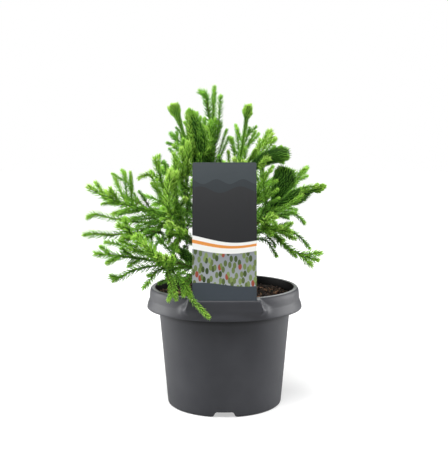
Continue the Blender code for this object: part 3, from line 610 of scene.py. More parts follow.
def wave_mask(tree, mapped, side, height, swing, pitch, start):
    """One on one side of a wavy line across the card, and nought on the other."""
    across, up, _ = add_node(tree, "SeparateXYZ", {0: mapped}).outputs
    turn = add_node(tree, "Math", {0: across, 1: math.tau / (pitch * MM), 2: start}, operation="MULTIPLY_ADD")
    wave = add_node(tree, "Math", {0: turn}, operation="SINE")
    line = add_node(tree, "Math", {0: wave, 1: swing * MM, 2: height * MM}, operation="MULTIPLY_ADD")
    return add_node(tree, "Math", {0: up, 1: line}, operation=side)


def overprint(tree, colour, inks):
    """Lays inks over a colour, each where its mask is one."""
    for mask, ink in inks:
        colour = add_node(tree, "Mix", {0: mask, 6: colour, 7: ink}, data_type="RGBA")
    return colour


def card_front_design(tree, mapped):
    """Charcoal, a slate band of hills, a white and orange ribbon, and a panel of plain oval leaves."""
    leaves = add_node(tree, "Mapping", {"Vector": mapped, "Rotation": (0, 0, 0.6), "Scale": (1.5, 0.8, 1.0)})
    spots = {"Vector": leaves, "Scale": 1 / (6 * MM), "Randomness": 0.8}
    ovals = add_node(tree, "TexVoronoi", spots, voronoi_dimensions="2D")
    pick = add_node(tree, "SeparateColor", {0: ovals.outputs["Color"]}).outputs
    warm = add_node(tree, "Math", {0: pick[1], 1: 0.93}, operation="GREATER_THAN")
    between = add_node(tree, "Math", {0: ovals, 1: 0.43}, operation="GREATER_THAN")
    up = add_node(tree, "SeparateXYZ", {0: mapped}).outputs["Y"]
    fade = add_node(tree, "MapRange", {"Value": up, "From Min": 10 * MM, "From Max": 64 * MM})
    panel = add_node(tree, "Mix", {0: fade, 6: linear("#a4a8ab"), 7: linear("#787e82")}, data_type="RGBA")
    inks = [(pick[0], linear("#7d8f55")), (warm, linear("#8c4434")), (between, panel)]
    inks += [(wave_mask(tree, mapped, *wave), linear(ink)) for *wave, ink in FRONT_WAVES]
    return overprint(tree, linear("#2f3e1a"), inks)


def card_back_design(tree, mapped):
    """Charcoal over a pale foot."""
    foot = wave_mask(tree, mapped, "LESS_THAN", 40, 3.0, 130, 1.0)
    return overprint(tree, linear("#28292c"), [(foot, linear("#94979a"))])


def seat_piece(name, mesh, finishes, stands_for=()):
    """Puts a finished mesh in the scene, on the plant's one body."""
    for finish in finishes:
        mesh.materials.append(finish)
    piece = bpy.data.objects.new(name, mesh)
    bpy.context.scene.collection.objects.link(piece)
    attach(piece, "root")
    if stands_for:
        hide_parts(*stands_for)
    return piece


def drawn_mesh(name, bm, sharp):
    """The bmesh, drawn in millimetres, as a smooth mesh in metres that is sharp past an angle in degrees."""
    bmesh.ops.scale(bm, vec=(MM, MM, MM), verts=bm.verts)
    mesh = bpy.data.meshes.new(name)
    bm.to_mesh(mesh)
    bm.free()
    mesh.shade_smooth()
    mesh.set_sharp_from_angle(angle=math.radians(sharp))
    return mesh


def within(value):
    """A value kept from nought to one."""
    return max(0.0, min(1.0, value))


def ease(value):
    """Goes from nought to one with a soft start and end."""
    value = within(value)
    return value * value * (3 - 2 * value)


def panel_stand_out(angle, height, radius):
    """How far the card panel stands out of the round collar at an angle from the front and a height."""
    down = within((POT_HEIGHT - height) / PANEL_DROP)
    corner = down ** 2.4
    flat = PANEL_FLAT[0] + (PANEL_FLAT[1] - PANEL_FLAT[0]) * down
    reach = PANEL_REACH[0] + (PANEL_REACH[1] - PANEL_REACH[0]) * corner
    share = ease((reach - abs(angle)) / (reach - flat)) ** (1.6 + 2.4 * corner)
    rise = ease((height - PANEL_FOOT) / (CREASE_HEIGHT - PANEL_FOOT))
    return max(0.0, PANEL_FRONT / math.cos(min(abs(angle), flat)) - radius) * share * rise


def pot_shell():
    """The pot turned from its outline, with more steps at the front, where the card panel is drawn out."""
    outline = POT_FOOT + POT_SIDE + POT_SKIRT + POT_COLLAR + POT_INSIDE
    bm = bmesh.new()
    outside = bm.verts.layers.int.new("outside")
    turn = Matrix.Rotation(-math.pi / 2 - FRONT_ARC / 2, 3, "Z")
    verts = [bm.verts.new(turn @ Vector((radius, 0, height))) for radius, height in outline]
    for vert, place in zip(verts, outline):
        vert[outside] = place in POT_COLLAR and place[0] > COLLAR_LIP_RADIUS
    turned = verts + [bm.edges.new(pair) for pair in zip(verts, verts[1:])]
    for arc, steps in ((FRONT_ARC, FRONT_STEPS), (math.tau - FRONT_ARC, REST_STEPS)):
        turned = bmesh.ops.spin(
            bm, geom=turned, cent=(0, 0, 0), axis=(0, 0, 1), angle=arc, steps=steps, use_merge=False
        )["geom_last"]
    bmesh.ops.remove_doubles(bm, verts=bm.verts, dist=0.001)
    bmesh.ops.recalc_face_normals(bm, faces=bm.faces)
    for vert in bm.verts:
        radius = math.hypot(vert.co.x, vert.co.y)
        if vert[outside] and vert.co.z > PANEL_FOOT and vert.co.y < 0:
            angle = math.atan2(vert.co.x, -vert.co.y)
            grown = 1 + panel_stand_out(angle, vert.co.z, max(radius, COLLAR_RADIUS)) / radius
            vert.co.x *= grown
            vert.co.y *= grown
    return bm


def add_turned(whole, part, index):
    """Adds a part drawn at the front to a whole, turned to one of the drain channels."""
    angle = math.tau * index / CHANNEL_COUNT
    bmesh.ops.rotate(part, cent=(0, 0, 0), matrix=Matrix.Rotation(angle, 3, "Z"), verts=part.verts)
    mesh = bpy.data.meshes.new("part")
    part.to_mesh(mesh)
    part.free()
    whole.from_mesh(mesh)
    bpy.data.meshes.remove(mesh)


def channel_arch(wall, near, far):
    """A drain channel with a rounded roof, drawn out from near to far. With no wall round it, it is the space
    inside, whose foot flares."""
    half = CHANNEL_WIDTH / 2 + wall
    outline = [(half - inset, CHANNEL_HEIGHT + wall - drop) for inset, drop in CHANNEL_CORNER]
    if wall == 0:
        outline = [(half + flare, height) for flare, height in CHANNEL_FLARE] + outline
    else:
        outline = [(half, FLOOR_THICKNESS / 2)] + outline
    outline += [(-across, height) for across, height in reversed(outline)]
    bm = bmesh.new()
    face = bm.faces.new([bm.verts.new((across, -near, height)) for across, height in outline])
    swept = bmesh.ops.extrude_face_region(bm, geom=[face])["geom"]
    moved = [item for item in swept if isinstance(item, bmesh.types.BMVert)]
    bmesh.ops.translate(bm, vec=(0, near - far, 0), verts=moved)
    bmesh.ops.recalc_face_normals(bm, faces=bm.faces)
    return bm


def card_slot():
    """The space of the slot that the card stands in, open at the top."""
    width, depth = SLOT_SIZE
    size = Vector((width, depth, POT_HEIGHT + 5 - SLOT_FLOOR))
    middle = (0, CARD_THICKNESS / 2 - CARD_PLANE, SLOT_FLOOR + size.z / 2)
    bm = bmesh.new()
    bmesh.ops.create_cube(bm, size=1.0)
    bmesh.ops.scale(bm, vec=size, verts=bm.verts)
    bmesh.ops.translate(bm, vec=middle, verts=bm.verts)
    return bm


def carve(piece, bm, operation):
    """Cuts a bmesh out of a piece, or joins it on, and leaves no modifier."""
    tool = bpy.data.objects.new("tool", drawn_mesh("tool", bm, 40))
    bpy.context.scene.collection.objects.link(tool)
    cut = piece.modifiers.new("cut", "BOOLEAN")
    cut.operation = operation
    cut.object = tool
    cut.solver = "EXACT"
    mesh = bpy.data.meshes.new_from_object(piece.evaluated_get(bpy.context.evaluated_depsgraph_get()))
    piece.modifiers.clear()
    old, piece.data = piece.data, mesh
    mesh.name = piece.name
    bpy.data.meshes.remove(old)
    bpy.data.objects.remove(tool, do_unlink=True)


def make_pot(outside, inside):
    """The pot with its drain channels, drain holes and card slot cut, and its inside painted near black as
    shade.
    """
    shell = drawn_mesh("pot_moulded", pot_shell(), 50)
    pot = seat_piece("pot_moulded", shell, [outside, inside], ("pot",))
    roofs, voids, drains = bmesh.new(), bmesh.new(), bmesh.new()
    near, far = CHANNEL_ENDS
    for index in range(CHANNEL_COUNT):
        add_turned(roofs, channel_arch(CHANNEL_WALL, near - CHANNEL_WALL, CHANNEL_WALL_END), index)
        add_turned(voids, channel_arch(0, near, far), index)
        drain = bmesh.new()
        bmesh.ops.create_cone(
            drain, cap_ends=True, segments=24, radius1=DRAIN_RADIUS, radius2=DRAIN_RADIUS, depth=DRAIN_DEPTH,
            matrix=Matrix.Translation((0, -DRAIN_REACH, CHANNEL_HEIGHT + 0.8)),
        )
        add_turned(drains, drain, index)
    carve(pot, roofs, "UNION")
    for space in (voids, drains, card_slot()):
        carve(pot, space, "DIFFERENCE")
    # Faces that look inwards take the second finish, painted near black as shade.
    low, high = INSIDE_HEIGHTS
    for face in pot.data.polygons:
        inwards = face.normal.x * face.center.x + face.normal.y * face.center.y < 0
        if inwards and low * MM < face.center.z < high * MM:
            face.material_index = 1
    pot.data.shade_smooth()
    pot.data.set_sharp_from_angle(angle=math.radians(50))


def card_face(height):
    """How far back the card's face is at a height."""
    return -CARD_PLANE + CARD_BOW * max(0.0, (height - POT_HEIGHT) / (CARD_TOP - POT_HEIGHT)) ** 2


def make_card(front_print, back_print):
    """A thin sheet that stands in its slot and bows back to its top, with small round corners."""
    tall = CARD_TOP - CARD_FOOT
    bm = bmesh.new()
    bmesh.ops.create_grid(bm, x_segments=12, y_segments=48, size=0.5)
    corners = [vert for vert in bm.verts if abs(vert.co.x) > 0.49 and abs(vert.co.y) > 0.49]
    bmesh.ops.scale(bm, vec=(CARD_WIDTH, tall, 1), verts=bm.verts)
    bmesh.ops.bevel(
        bm, geom=corners, offset=CARD_CORNER, offset_type="OFFSET", affect="VERTICES", segments=4,
        profile=0.5, material=-1,
    )
    flat = bm.loops.layers.uv.new("UVMap")
    for face in bm.faces:
        for loop in face.loops:
            loop[flat].uv = ((loop.vert.co.x + CARD_WIDTH / 2) * MM, (loop.vert.co.y + tall / 2) * MM)
    for vert in bm.verts:
        height = vert.co.y + (CARD_TOP + CARD_FOOT) / 2
        vert.co = (vert.co.x, card_face(height), height)
    bmesh.ops.recalc_face_normals(bm, faces=bm.faces)
    if sum(face.normal.y for face in bm.faces) > 0:
        bmesh.ops.reverse_faces(bm, faces=bm.faces)
    bmesh.ops.solidify(bm, geom=bm.faces[:], thickness=CARD_THICKNESS)
    bmesh.ops.recalc_face_normals(bm, faces=bm.faces)
    for face in bm.faces:
        face.material_index = 0 if face.normal.y < -0.3 else 1
    mesh = drawn_mesh("card_printed", bm, 50)
    seat_piece("card_printed", mesh, [front_print, back_print], ("card",))


def unit(vectors):
    """Vectors brought to a length of one."""
    return vectors / np.maximum(np.linalg.norm(vectors, axis=-1, keepdims=True), 1e-9)


def mesh_of_triangles(name, points, faces, tints, heights=None):
    """A joined mesh in metres from points in millimetres, triangles, and a finish for each triangle. Heights
    go from nought at a needle's foot to one at its tip, and are kept as the map's second value."""
    mesh = bpy.data.meshes.new(name)
    mesh.vertices.add(len(points))
    mesh.vertices.foreach_set("co", (points * MM).astype(np.float32).ravel())
    mesh.loops.add(faces.size)
    mesh.loops.foreach_set("vertex_index", faces.astype(np.int32).ravel())
    mesh.polygons.add(len(faces))
    mesh.polygons.foreach_set("loop_start", np.arange(0, faces.size, 3, dtype=np.int32))
    mesh.polygons.foreach_set("material_index", tints.astype(np.int32))
    if heights is not None:
        spots = np.stack([np.full(faces.size, 0.5), heights[faces.ravel()]], axis=1)
        mesh.uv_layers.new(name="along").data.foreach_set("uv", spots.astype(np.float32).ravel())
    mesh.update(calc_edges=True)
    return mesh


def repeated(faces, corners, count):
    """The triangles of a small shape, for a number of its copies whose points follow each other."""
    return (faces[None] + corners * np.arange(count)[:, None, None]).reshape(-1, 3)


def make_chips(finishes):
    """Loose bark chips: crooked flat blocks that lie at all turns over the compost, which sinks a little
    towards the wall."""
    block = np.array([(x, y, z) for z in (-1, 1) for y in (-1, 1) for x in (-1, 1)], dtype=float)
    sides = np.array(
        [(0, 2, 3), (0, 3, 1), (4, 5, 7), (4, 7, 6), (0, 1, 5), (0, 5, 4), (2, 6, 7), (2, 7, 3), (0, 4, 6),
         (0, 6, 2), (1, 3, 7), (1, 7, 5)]
    )
    half = np.stack([chance.uniform(*span, CHIP_COUNT) for span in CHIP_HALF_SIZES], axis=1)
    shape = block[None] * half[:, None] * chance.uniform(*CHIP_CORNERS, (CHIP_COUNT, 8, 3))
    tilt = chance.normal(0, CHIP_TILT, (CHIP_COUNT, 2))
    bearing = chance.uniform(0, math.tau, CHIP_COUNT)
    for first, second, angle in ((1, 2, tilt[:, 0]), (0, 2, tilt[:, 1]), (0, 1, bearing)):
        low, high = shape[:, :, first].copy(), shape[:, :, second].copy()
        cosine, sine = np.cos(angle)[:, None], np.sin(angle)[:, None]
        shape[:, :, first] = low * cosine - high * sine
        shape[:, :, second] = low * sine + high * cosine
    radius = np.sqrt(chance.uniform(0.004, 1, CHIP_COUNT)) * (SOIL_EDGE - CHIP_EDGE_GAP)
    around = chance.uniform(0, math.tau, CHIP_COUNT)
    height = SOIL_TOP - SOIL_DIP * (radius / SOIL_EDGE) ** 2 + chance.uniform(*CHIP_LIFT, CHIP_COUNT)
    centre = np.stack([radius * np.cos(around), radius * np.sin(around), height], axis=1)
    points = (shape + centre[:, None]).reshape(-1, 3)
    tints = np.repeat(chance.choice(3, CHIP_COUNT, p=CHIP_SHARES), len(sides))
    mesh = mesh_of_triangles("bark_chips", points, repeated(sides, len(block), CHIP_COUNT), tints)
    seat_piece("bark_chips", mesh, finishes)


def bent_line(start, end, rise, count):
    """Evenly spaced points from start to end, whose middle is lifted by rise."""
    share = np.linspace(0, 1, count)[:, None]
    line = np.array(start, float) * (1 - share) + np.array(end, float) * share
    line[:, 2:] += 4 * rise * share * (1 - share)
    return line


def smooth_line(points, count):
    """A smooth line through points, with its own points evenly spaced."""
    points = np.array(points, float)
    padded = np.vstack([2 * points[0] - points[1], points, 2 * points[-1] - points[-2]])
    pieces = []
    for before, start, end, after in zip(padded, padded[1:], padded[2:], padded[3:]):
        share = np.linspace(0, 1, 12, endpoint=False)[:, None]
        pull = 2 * before - 5 * start + 4 * end - after
        curl = 3 * start - before - 3 * end + after
        pieces.append(0.5 * (2 * start + (end - before) * share + pull * share**2 + curl * share**3))
    return respaced(np.vstack([*pieces, points[-1:]]), count)


def step_lengths(line):
    """The distance from each point of a line to the next."""
    return np.linalg.norm(np.diff(line, axis=0), axis=1)


def at_place(values, place):
    """Values between a line's points, at places in the line's own numbering."""
    index = np.minimum(place.astype(int), len(values) - 2)
    part = (place - index)[:, None]
    return values[index] * (1 - part) + values[index + 1] * part


def along(line, shares):
    """Points at shares of a line's length, and where they fall in its own numbering."""
    steps = step_lengths(line)
    reached = np.concatenate([[0.0], np.cumsum(steps)]) / steps.sum()
    place = np.interp(shares, reached, np.arange(len(line)))
    return at_place(line, place), place


def respaced(line, count, first=0, gap=0.0):
    """Evenly spaced points from a share of a line's length to a gap before its end."""
    return along(line, np.linspace(first, 1 - gap / step_lengths(line).sum(), count))[0]


def carried_frame(line):
    """Directions along a line of points, and two square to them that follow it without a twist."""
    ahead = unit(np.gradient(line, axis=0))
    side = np.zeros_like(line)
    side[0] = np.cross(ahead[0], (0, 0, 1) if abs(ahead[0][2]) < 0.9 else (0, 1, 0))
    for index in range(1, len(line)):
        side[index] = side[index - 1] - ahead[index] * (side[index - 1] @ ahead[index])
    side = unit(side)
    return ahead, side, np.cross(ahead, side)


def turned_out(side, over, turn):
    """Directions between two that are square to each other, for each of their rows and each turn."""
    return np.cos(turn)[..., None] * side[:, None] + np.sin(turn)[..., None] * over[:, None]


def limb_lines():
    """Each limb's line of points and its radii, from the trunk outwards."""
    trunk = bent_line(TRUNK_LOW, TRUNK_TOP, 0, 49)
    trunk[:, 0] += TRUNK_BELLY * np.sin(np.pi * np.linspace(0, 1, 49))
    height = np.maximum(trunk[:, 2], SOIL_TOP) - SOIL_TOP
    taper = (TRUNK_TOP_RADIUS - TRUNK_RADIUS) * height / (TRUNK_TOP[2] - SOIL_TOP)
    lines = {"trunk": trunk}
    radii = {"trunk": TRUNK_RADIUS + taper + FLARE_RADIUS * np.exp(-height / FLARE_HEIGHT)}
    for name, (carrier, share, end, rise, root, _) in BOUGHS.items():
        lines[name] = bent_line(along(lines[carrier], np.array([share]))[0][0], end, rise, 33)
        radii[name] = np.linspace(root, BOUGH_TIP_RADIUS, 33)
    return lines, radii


def bridged_rings(bm, rings):
    """A closed tube through rings of points. Gives its faces, and each vertex's ring and place in it."""
    loops, spots = [], {}
    for index, ring in enumerate(rings):
        circle = bmesh.ops.create_circle(bm, segments=len(ring), radius=1.0)["verts"]
        loops.append(list(dict.fromkeys(edge for vert in circle for edge in vert.link_edges)))
        for step, (vert, point) in enumerate(zip(circle, ring)):
            vert.co = Vector(point)
            spots[vert] = (index, step)
    faces = []
    for lower, upper in zip(loops, loops[1:]):
        faces += bmesh.ops.bridge_loops(bm, edges=lower + upper)["faces"]
    bmesh.ops.holes_fill(bm, edges=loops[0] + loops[-1], sides=0)
    return faces, spots


def bark_tube(bm, line, radii, sides):
    """A limb whose bark stands in ridges along it and swells where shoots were, mapped round and along it."""
    _, side, over = carried_frame(line)
    reached = np.concatenate([[0.0], np.cumsum(step_lengths(line))])
    turn = np.linspace(0, math.tau, sides, endpoint=False)
    height = np.empty((len(line), sides))
    for index, far in enumerate(reached):
        swelling = noise.noise(Vector((far * SWELLINGS_PER_MM, radii[index] * 3, 1.7)))
        for step, angle in enumerate(turn):
            round_limb = RIDGES_ROUND * math.cos(angle), RIDGES_ROUND * math.sin(angle)
            ridge = noise.fractal(Vector((*round_limb, far * RIDGES_PER_MM)), 0.6, 2.1, 3)
            height[index, step] = radii[index] * (1 + BARK_RELIEF * (ridge + 0.5 * swelling))
    faces, spots = bridged_rings(bm, line[:, None] + turned_out(side, over, turn[None]) * height[..., None])
    mapped = bm.loops.layers.uv.verify()
    for face in faces:
        wraps = {0, sides - 1} <= {spots[vert][1] for vert in face.verts}
        for loop in face.loops:
            index, step = spots[loop.vert]
            step = sides if wraps and step == 0 else step
            loop[mapped].uv = (math.tau * BARK_MAP_RADIUS * step / sides * MM, reached[index] * MM)


def make_limbs(lines, radii, bark):
    """The trunk, cut flat on the compost, and the boughs, each from inside its carrier to its mass."""
    for name, limbs, sides, pitch in BARK_TUBES:
        bm = bmesh.new()
        for limb in limbs:
            count = int(step_lengths(lines[limb]).sum() / pitch) + 2
            fine, place = along(lines[limb], np.linspace(0, 1, count))
            bark_tube(bm, fine, at_place(radii[limb][:, None], place)[:, 0], sides)
        bmesh.ops.recalc_face_normals(bm, faces=bm.faces)
        if name == "bark_trunk":
            cut = bmesh.ops.bisect_plane(
                bm, geom=bm.verts[:] + bm.edges[:] + bm.faces[:], plane_co=(0, 0, TRUNK_FOOT),
                plane_no=(0, 0, 1), clear_inner=True,
            )
            edges = [item for item in cut["geom_cut"] if isinstance(item, bmesh.types.BMEdge)]
            bmesh.ops.holes_fill(bm, edges=edges, sides=0)
            bmesh.ops.recalc_face_normals(bm, faces=bm.faces)
        seat_piece(name, drawn_mesh(name, bm, 80), [bark], limbs)


# What is grown: needles by joined mesh, and stems, as lists of arrays.
needles = {}
stems = []


def grow_needles(piece, base, ahead, out, lean, size, width, tint, bend):
    """Keeps the needles of one shoot. Each starts at a lean from the shoot and bends forward along it."""
    lean, size = lean[:, None], size[:, None]
    start = unit(np.cos(lean) * ahead + np.sin(lean) * out)
    keel = unit(out - start * (out * start).sum(1, keepdims=True))
    side = np.cross(keel, start)
    forward = ahead - start * (ahead * start).sum(1, keepdims=True)
    middle = base + size * (NEEDLE_MIDDLE * start + 0.22 * bend * forward)
    corners = []
    for centre, girth in ((base, width[:, None]), (middle, width[:, None] * 0.82)):
        corners += [centre - side * girth / 2, centre + side * girth / 2, centre + keel * girth * 0.42]
    points = np.stack([*corners, base + size * (start + bend * forward)], axis=1)
    tint = np.clip(np.round(tint), 0, len(NEEDLE_GREENS) - 1).astype(int)
    needles.setdefault(piece, []).append((points, tint))


def grow_stem(line, first, last, kind):
    """Keeps a twig: a tapering stem from a first radius to a last one, closed at both ends."""
    count = max(3, int(step_lengths(line).sum() / STEM_PITCH) + 2)
    line = respaced(line, count)
    _, side, over = carried_frame(line)
    out = turned_out(side, over, np.linspace(0, math.tau, STEM_SIDES, endpoint=False)[None])
    rings = line[:, None] + out * np.linspace(first, last, count)[:, None, None]
    faces = []
    for ring in range(0, STEM_SIDES * (count - 1), STEM_SIDES):
        for step in range(STEM_SIDES):
            here, beside = ring + step, ring + (step + 1) % STEM_SIDES
            faces += [(here, beside, beside + STEM_SIDES), (here, beside + STEM_SIDES, here + STEM_SIDES)]
    end = STEM_SIDES * (count - 1)
    for step in range(1, STEM_SIDES - 1):
        faces += [(0, step + 1, step), (end, end + step, end + step + 1)]
    stems.append((rings.reshape(-1, 3), np.array(faces), kind))


def grow_cord(piece, line, reach, tint, bare=0.0, density=2.0, core=None):
    """A cord-like shoot: needles set round it in a spiral, spreading where it is old, and close in a rounded
    bright tip. The core is the radius of the stem at each end, for a limb that has its own bark."""
    length = step_lengths(line).sum()
    steps = np.linspace(bare, 1, 200)
    packed = np.cumsum(1 + CROWDING * np.exp(-length * (1 - steps) / (CROWDED_REACHES * reach)))
    closeness = density * (USUAL_REACH / max(reach, LEAST_REACH)) ** 0.5
    count = int(closeness * length * (1 - bare) * packed[-1] / 200) + LEAST_COUNT
    share = np.interp(np.linspace(packed[0], packed[-1], count), packed, steps)
    share = np.clip(share + chance.normal(0, 0.3 / length, count), 0, 1)
    base, place = along(line, share)
    ahead, side, over = (unit(at_place(part, place)) for part in carried_frame(line))
    turn = np.arange(count) * GOLDEN_ANGLE + chance.normal(0, 0.15, count)
    out = unit(turned_out(side, over, turn[:, None])[:, 0])
    to_tip = length * (1 - share)
    fresh = np.exp(-to_tip / (FRESH_REACHES * reach))
    closed = np.exp(-((to_tip / (CLOSED_REACHES * reach)) ** 2))
    lean = NEEDLE_LEAN - FRESH_LEAN_LOSS * fresh - CLOSED_LEAN_LOSS * closed
    lean = np.radians(lean + chance.normal(0, LEAN_SPREAD, count))
    girth = reach * (0.75 + 0.25 * np.clip(share / 0.3, 0, 1)) * chance.uniform(0.85, 1.15, count)
    size = girth * (1.3 - 0.2 * fresh - 0.2 * closed)
    width = (NEEDLE_WIDTH + REACH_WIDTH * reach) * chance.uniform(0.85, 1.1, count)
    first, last = core or [slope * reach + least for slope, least in STEM_RADII]
    base = base + out * (0.6 * (first + (last - first) * share))[:, None]
    shade = tint - 0.5 * np.clip((to_tip - OLD_START) / OLD_LENGTH, 0, 1.6) + 0.8 * fresh + 0.5 * closed
    # Needles that point up are painted paler: painted light from above.
    shade = shade + 0.3 * out[:, 2] + chance.normal(0, SHADE_SPREAD, count)
    grow_needles(piece, base, ahead, out, lean, size, width, shade, 0.3)
    if core is None:
        grow_stem(line, first, last, 0 if tint > 1.2 and length < GREEN_STEM_LENGTH else 1)


def outside_box(point):
    """True where a point is out of the box that the solids fill."""
    low, high = (np.array(corner) / MM for corner in cad_box)
    return bool((point < low).any() or (point > high).any())


def through_card(start, end):
    """True where a straight shoot would pass through the card."""
    plane = card_face(end[2])
    if end[2] > CARD_TOP or not start[1] > plane > end[1]:
        return False
    share = (plane - start[1]) / (end[1] - start[1])
    return bool(abs(start[0] + (end[0] - start[0]) * share) < CARD_WIDTH / 2)


def turned_off(direction, flat, angle, around):
    """A direction that leaves another at an angle, at a turn round it from the flat side."""
    side = unit(np.cross(direction, flat))
    over = np.cross(side, direction)
    return math.cos(angle) * direction + math.sin(angle) * (math.cos(around) * side + math.sin(around) * over)


def grow_sides(piece, line, count, width, thickness, reach, tint):
    """Side shoots, left and right in turn with a few between, that fill the width of their mass."""
    low, high = SIDE_SPAN
    for index in range(count):
        share = low + (high - low) * (index + chance.uniform(0.2, 0.8)) / count
        point, place = along(line, np.array([share]))
        point = point[0]
        here = unit(at_place(np.gradient(line, axis=0), place))[0]
        around = math.pi * (index % 2) + chance.normal(0, 0.55 if thickness < FLAT_THICKNESS else 1.1)
        angle = math.radians(chance.uniform(*SIDE_ANGLES))
        away = turned_off(here, np.array((0.0, 1.0, 0.15)), angle, around)
        swell = math.sin(math.pi * (0.25 + 0.75 * share)) ** 0.5
        room = 0.5 * (width * abs(math.cos(around)) + thickness * abs(math.sin(around))) * max(swell, 0.45)
        span = room / math.sin(angle) * chance.uniform(0.9, 1.25)
        while outside_box(point + away * span):
            span *= 0.85
        if through_card(point, point + away * span):
            span *= 0.4
        middle = point + away * span * 0.5 + here * span * 0.04
        twig = smooth_line([point, middle, point + away * span + here * span * 0.16], 14)
        grow_cord(piece, twig, reach * chance.uniform(0.7, 0.88), tint + chance.normal(0, 0.3), bare=0.08)


def grow_crest(piece, line, width, thickness, reach, tint, teeth, swell, bodies):
    """A flattened fan of joined shoots under short needles, with a row of tufts along its far edge."""
    line = respaced(line, CREST_RINGS)
    length = step_lengths(line).sum()
    ahead = unit(np.gradient(line, axis=0))
    side = unit(np.cross(ahead, (0.0, 1.0, 0.0)))
    over = np.cross(side, ahead)
    shares = np.linspace(0, 1, CREST_RINGS)
    swelling = np.interp(shares, *np.array(swell).T)
    wide, thick = 0.5 * width * swelling, 0.5 * thickness * swelling**0.6
    wide = np.maximum(wide - CREST_DEPTH * reach, 0.25 * wide + 0.3)
    thick = np.maximum(thick - CREST_DEPTH * reach, 0.25 * thick + 0.3)
    turn = np.linspace(0, math.tau, CREST_SIDES, endpoint=False)
    across = side[:, None] * (wide[:, None] * np.cos(turn))[..., None]
    bridged_rings(bodies, line[:, None] + across + over[:, None] * (thick[:, None] * np.sin(turn))[..., None])
    opening = np.maximum(np.gradient(wide) / (length / (CREST_RINGS - 1)), 0.12)

    def at_share(share):
        """The middle of the crest, and its directions ahead, left and up."""
        place = np.array([share * (CREST_RINGS - 1)])
        return (at_place(part, place)[0] for part in (line, ahead, side, over))

    pitch = CREST_PITCH * reach
    rows = int(length / pitch)
    for row in range(rows):
        share = (row + 0.5) / rows
        centre, forward, left, up = at_share(share)
        half, depth, spread = (np.interp(share, shares, part) for part in (wide, thick, opening))
        around = max(7, int(math.pi * (1.5 * (half + depth) - math.sqrt(half * depth)) / pitch))
        angle = (np.arange(around) + 0.5 * (row % 2)) * math.tau / around + chance.normal(0, 0.05, around)
        cosine, sine = np.cos(angle)[:, None], np.sin(angle)[:, None]
        base = centre + left * half * cosine + up * depth * sine
        out = unit(left * cosine / max(half, 0.3) + up * sine / max(depth, 0.3))
        rib = unit(forward + left * cosine * spread * 1.2)
        edge = max(0.0, (share - EDGE_START) / (1 - EDGE_START))
        lean = np.radians(CREST_LEAN - EDGE_LEAN_LOSS * edge + chance.normal(0, LEAN_SPREAD, around))
        size = reach * (1.2 + 0.15 * edge) * chance.uniform(0.85, 1.1, around)
        shade = tint + 0.5 * share + 1.6 * edge + 0.5 * np.abs(cosine[:, 0]) ** 3
        shade = shade + chance.normal(0, 0.4, around)
        grow_needles(piece, base, rib, out, lean, size, np.full(around, 0.6 * pitch), shade, 0.2)
    for tooth in range(teeth):
        place = (tooth + 0.5) / teeth * 2 - 1
        share = 0.9 - 0.16 * place * place + chance.normal(0, 0.015)
        centre, forward, left, up = at_share(share)
        root = centre + left * np.interp(share, shares, wide) * place * 0.9 + up * chance.normal(0, 0.6)
        way = unit(forward + left * place * 0.55 + up * chance.normal(0, 0.15))
        span = chance.uniform(0.8, 1.25) * (0.07 * length + 2.0)
        tuft = smooth_line([root, root + way * span], 6)
        grow_cord(piece, tuft, 0.7 * reach + 0.6, tint + 1.5, density=3.2)


def grow_plant(lines, radii, piece_of):
    """Every mass as shoots on its own limb, then the shoots that show by themselves, then old inner needles.
    Gives the flattened bodies of the crests."""
    axes, bodies = {}, bmesh.new()
    for name, (limb, share, tip, rise, width, thickness, form, reach, sides, tint) in MASSES.items():
        piece = piece_of[name]
        axes[name] = bent_line(along(lines[limb], np.array([share]))[0][0], tip, rise, 33)
        if form == "cord":
            line = respaced(axes[name], 33, gap=0.35 * reach)
            grow_cord(piece, line, reach * FULLNESS, tint, bare=0.06)
            grow_sides(piece, line, sides, width, thickness, reach * FULLNESS, tint)
        elif form in SWELLS:
            grow_crest(piece, axes[name], width, thickness, reach, tint, sides, SWELLS[form], bodies)
    axes.update(lines)
    for carrier, shoots in SHOOTS.items():
        for index, (reach, tint, *points) in enumerate(shoots):
            nearest = np.linalg.norm(axes[carrier] - np.array(points[0]), axis=1).argmin()
            leads = index == 0 and carrier in MASSES and MASSES[carrier][6] == "none"
            root = axes[carrier][0 if leads else nearest]
            reach = reach * FULLNESS
            line = respaced(smooth_line([root, *points], 30), 30, gap=0.3 * reach)
            grow_cord(piece_of[carrier], line, reach, tint, bare=0.05)
            if leads:
                axes[carrier] = line
    for limb in BOUGHS:
        line = respaced(lines[limb], 20, first=INNER_START)
        first = np.interp(INNER_START, np.linspace(0, 1, len(radii[limb])), radii[limb])
        core = (first, radii[limb][-1])
        grow_cord(piece_of[limb], line, *INNER_NEEDLES, density=INNER_DENSITY, core=core)
        grow_sides(piece_of[limb], line, 6 if "back" in limb else 2, *INNER_SIDES)
    return bodies


def join_needles(piece_of, greens):
    """The needles of each part of the crown as one joined mesh, which stands for its masses."""
    for piece, shoots in needles.items():
        points, tints = (np.concatenate(parts) for parts in zip(*shoots))
        faces = repeated(NEEDLE_FACES, len(NEEDLE_HEIGHTS), len(points))
        tints = np.repeat(tints, len(NEEDLE_FACES))
        heights = np.tile(NEEDLE_HEIGHTS, len(points))
        mesh = mesh_of_triangles(f"needles_{piece}", points.reshape(-1, 3), faces, tints, heights)
        stands_for = [name for name in MASSES if piece_of[name] == piece]
        seat_piece(f"needles_{piece}", mesh, greens, stands_for)


